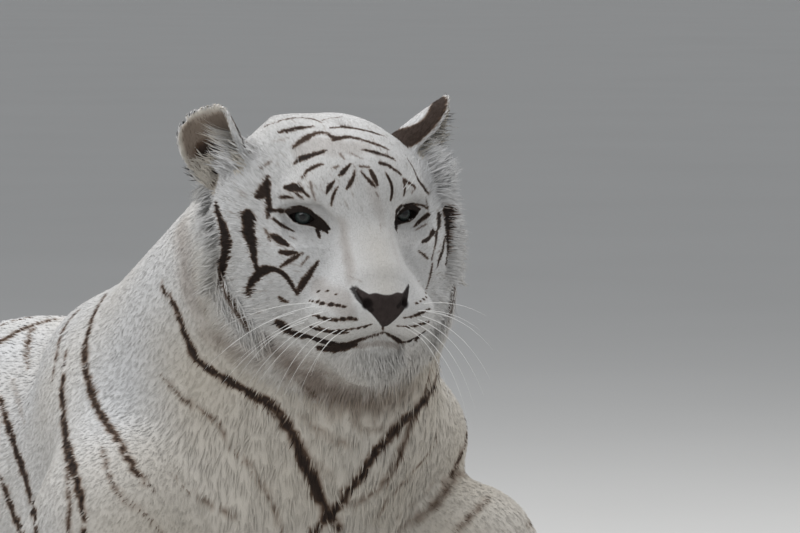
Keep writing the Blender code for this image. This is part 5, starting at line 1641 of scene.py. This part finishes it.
def eye(side):
    c = EYE_AT[side]
    ray = sight_ray(*IRIS_AT[side])
    oc = CAM - c
    bq = oc @ ray
    disc = bq * bq - (oc @ oc - EYE_RADIUS ** 2)
    hit = CAM + ray * (-bq - math.sqrt(max(disc, 0.0)))
    g = (hit - c) / EYE_RADIUS
    g /= np.linalg.norm(g)
    up = np.array((0, 0, 1.0)) - g * g[2]
    up /= np.linalg.norm(up)
    rt = np.cross(g, up)
    rings, around_ = 40, 56
    ang = np.linspace(0, math.pi, rings + 1)[1:-1]
    az = np.linspace(0, 2 * math.pi, around_, endpoint=False)
    A, Z = np.meshgrid(ang, az, indexing="ij")
    bulge = 0.0013 * ease((0.62 - A) / 0.40)
    R = EYE_RADIUS - 0.0009 + bulge
    pts = c + R[..., None] * (np.cos(A)[..., None] * g + np.sin(A)[..., None] * (np.cos(Z)[..., None] * rt + np.sin(Z)[..., None] * up))
    v = np.concatenate((pts.reshape(-1, 3), [c + g * (EYE_RADIUS + 0.0004), c - g * (EYE_RADIUS - 0.0009)]))
    f = []
    m = len(ang)
    for i in range(m - 1):
        for j in range(around_):
            p, q = i * around_ + j, i * around_ + (j + 1) % around_
            f += [(p, p + around_, q + around_), (p, q + around_, q)]
    front_i, back_i = m * around_, m * around_ + 1
    for j in range(around_):
        f.append((front_i, j, (j + 1) % around_))
        p, q = (m - 1) * around_ + j, (m - 1) * around_ + (j + 1) % around_
        f.append((p, back_i, q))
    angle = np.concatenate((A.ravel(), [0.0, math.pi]))
    turn = np.concatenate((Z.ravel(), [0.0, 0.0]))
    name = "eyeball_left" if side > 0 else "eyeball_right"
    o = make(name, v, np.array(f), None, None, {"angle": angle, "spokes": 0.5 + 0.5 * np.sin(turn * 23) * np.sin(turn * 7 + 1)})
    o.data.materials.append(eye_mat.mat)
    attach(o, "root")
    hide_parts("eye_left" if side > 0 else "eye_right")
    return o


eye_mat = Nodes("eye")
ang_ = eye_mat.flag("angle")
irisc = eye_mat.steps(eye_mat.number("DIVIDE", ang_, 1.2), [
    (0.0, (0.004, 0.004, 0.005)), (0.135, (0.004, 0.004, 0.005)), (0.165, (0.018, 0.024, 0.023)), (0.27, (0.036, 0.047, 0.044)),
    (0.37, (0.026, 0.034, 0.032)), (0.42, (0.009, 0.009, 0.010)), (0.50, (0.020, 0.016, 0.015)), (1.0, (0.05, 0.035, 0.03))])
irisc = eye_mat.mix(eye_mat.number("MULTIPLY", eye_mat.flag("spokes"), 0.35), irisc, (0.3, 0.3, 0.3), "MULTIPLY")
eye_mat.link(irisc, eye_mat.bsdf.inputs["Base Color"])
eye_mat.rough(0.10, 0.32)
eye_mat.bsdf.inputs["Coat Weight"].default_value = 0.22
eye_mat.bsdf.inputs["Coat Roughness"].default_value = 0.03
for s in (-1, 1):
    eye(s)

# ------------------------------------------------------------------ whiskers and brow bristles
WH_NEAR = [((296, 312), (204, 370)), ((308, 318), (235, 382)), ((316, 306), (222, 352)), ((322, 320), (246, 388)), ((330, 326), (274, 398)),
           ((338, 329), (283, 397)), ((344, 331), (311, 376)), ((312, 303), (216, 330)), ((326, 311), (232, 366)), ((334, 317), (256, 386)),
           ((350, 326), (300, 392)), ((304, 322), (222, 384))]
WH_FAR = [((418, 311), (480, 330)), ((422, 315), (490, 379)), ((414, 321), (475, 409)), ((410, 325), (470, 430)), ((424, 304), (486, 316)),
          ((418, 318), (484, 396)), ((408, 327), (452, 415)), ((426, 311), (493, 350))]
BROW = [((303, 186), (286, 150)), ((300, 187), (276, 158)), ((307, 185), (297, 148)), ((404, 190), (412, 158)), ((407, 190), (420, 164))]


def bristles():
    v, f = [], []
    count = 0
    for group, back_x in ((WH_NEAR, -0.055), (WH_FAR, -0.040), (BROW, 0.010)):
        roots = onto_outline([g[0] for g in group])
        for r, (_, end) in zip(roots, group):
            ray = sight_ray(*end)
            level = (r - CAM) @ BACK + back_x
            e = CAM + ray * (level / (ray @ BACK))
            h = to_head(r[None])[0]
            out_dir = HEAD_ROT @ np.array((0.45, np.sign(h[1]) * 1.0, 0.10 if group is not BROW else 0.9))
            out_dir /= np.linalg.norm(out_dir)
            L = np.linalg.norm(e - r)
            ctrl = r + out_dir * L * (0.20 if group is not BROW else 0.35) + (e - r) * 0.30 + np.array((0, 0, 0.010 if group is not BROW else 0.0))
            t = np.linspace(0, 1, 13)[:, None]
            path = (1 - t) ** 2 * (r - out_dir * 0.004) + 2 * t * (1 - t) * ctrl + t * t * e
            rad = (0.00052 if group is not BROW else 0.00034) * (1 - 0.86 * t[:, 0])
            tan = np.gradient(path, axis=0)
            tan /= np.linalg.norm(tan, axis=1)[:, None]
            s1 = np.cross(tan, (0.1, 0.2, 1.0))
            s1 /= np.linalg.norm(s1, axis=1)[:, None]
            s2 = np.cross(tan, s1)
            for k in range(5):
                a_ = 2 * math.pi * k / 5
                v.append(path + (s1 * math.cos(a_) + s2 * math.sin(a_)) * rad[:, None])
            n = len(path)
            for k in range(5):
                k2 = (k + 1) % 5
                for i in range(n - 1):
                    p, q = count + k * n + i, count + k2 * n + i
                    f += [(p, q, q + 1), (p, q + 1, p + 1)]
            count += 5 * n
    o = make("whiskers", np.concatenate(v), np.array(f))
    m = Nodes("whisker")
    col = m.mix(m.noise(30.0), (0.78, 0.77, 0.74), (0.88, 0.87, 0.85))
    m.link(col, m.bsdf.inputs["Base Color"])
    m.rough(0.40, 0.5)
    o.data.materials.append(m.mat)
    return o


WHISKERS = bristles()

# ------------------------------------------------------------------ what rides, what is replaced
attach(SKIN, "root")
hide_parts(*[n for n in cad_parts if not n.startswith("eye_")])
for o in COATS:
    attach(o, "root")
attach(WHISKERS, "root")

# ------------------------------------------------------------------ floor, light, camera
fm = Nodes("floor")
fm.link(fm.mix(fm.noise(1.2, 2), (0.62, 0.61, 0.59), (0.66, 0.65, 0.63)), fm.bsdf.inputs["Base Color"])
fm.rough(0.85, 0.1)
me = bpy.data.meshes.new("floor")
turn_ = np.linspace(0, 2 * math.pi, 96, endpoint=False)
vv = [(0.0, 0.0, -0.0005)] + [(r * math.cos(t), r * math.sin(t), -0.0005) for r in (8.0, 90.0) for t in turn_]
ff = [(0, 1 + i, 1 + (i + 1) % 96) for i in range(96)]
ff += [(1 + i, 97 + i, 97 + (i + 1) % 96, 1 + (i + 1) % 96) for i in range(96)]
me.from_pydata(vv, [], ff)
floor = bpy.data.objects.new("floor", me)
bpy.context.scene.collection.objects.link(floor)
me.materials.append(fm.mat)


def lamp(name, place, aim, size, power, colour):
    l = bpy.data.lights.new(name, "AREA")
    l.shape, l.size, l.energy, l.color = "DISK", size, power, colour
    o = bpy.data.objects.new(name, l)
    bpy.context.scene.collection.objects.link(o)
    o.location = place
    o.rotation_euler = (Vector(aim) - Vector(place)).to_track_quat("-Z", "Y").to_euler()
    return o


look = tuple(hp(0, 0, 0) + OUT)
lamp("key", tuple(Vector(look) + Vector((-1.05, -0.80, 2.95))), tuple(Vector(look) + Vector((-0.25, 0, -0.1))), 3.6, 104, (0.985, 0.99, 1.0))
lamp("fill", (3.6, -3.9, 2.2), look, 3.0, 46, (0.97, 0.985, 1.0))
lamp("rim", (0.6, 3.0, 2.9), look, 2.2, 48, (1.0, 1.0, 1.0))
world = bpy.data.worlds.new("studio")
bpy.context.scene.world = world
world.use_nodes = True
world.node_tree.nodes["Background"].inputs[0].default_value = (0.80, 0.83, 0.87, 1)
world.node_tree.nodes["Background"].inputs[1].default_value = 0.48

cam = bpy.data.cameras.new("camera")
cam.sensor_width, cam.lens = 36.0, 36.0 * DIST / (800 * PX)
cam.clip_start, cam.clip_end = 0.05, 300
cam_obj = bpy.data.objects.new("camera", cam)
bpy.context.scene.collection.objects.link(cam_obj)
mw = Matrix(((RIGHT[0], UP[0], BACK[0]), (RIGHT[1], UP[1], BACK[1]), (RIGHT[2], UP[2], BACK[2]))).to_4x4()
mw.translation = Vector(CAM + OUT)
cam_obj.matrix_world = mw
bpy.context.scene.camera = cam_obj
bpy.context.scene.view_settings.view_transform = "Standard"
bpy.context.scene.view_settings.look = "None"
bpy.context.scene.render.resolution_x, bpy.context.scene.render.resolution_y = 800, 533

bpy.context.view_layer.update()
clock("done")
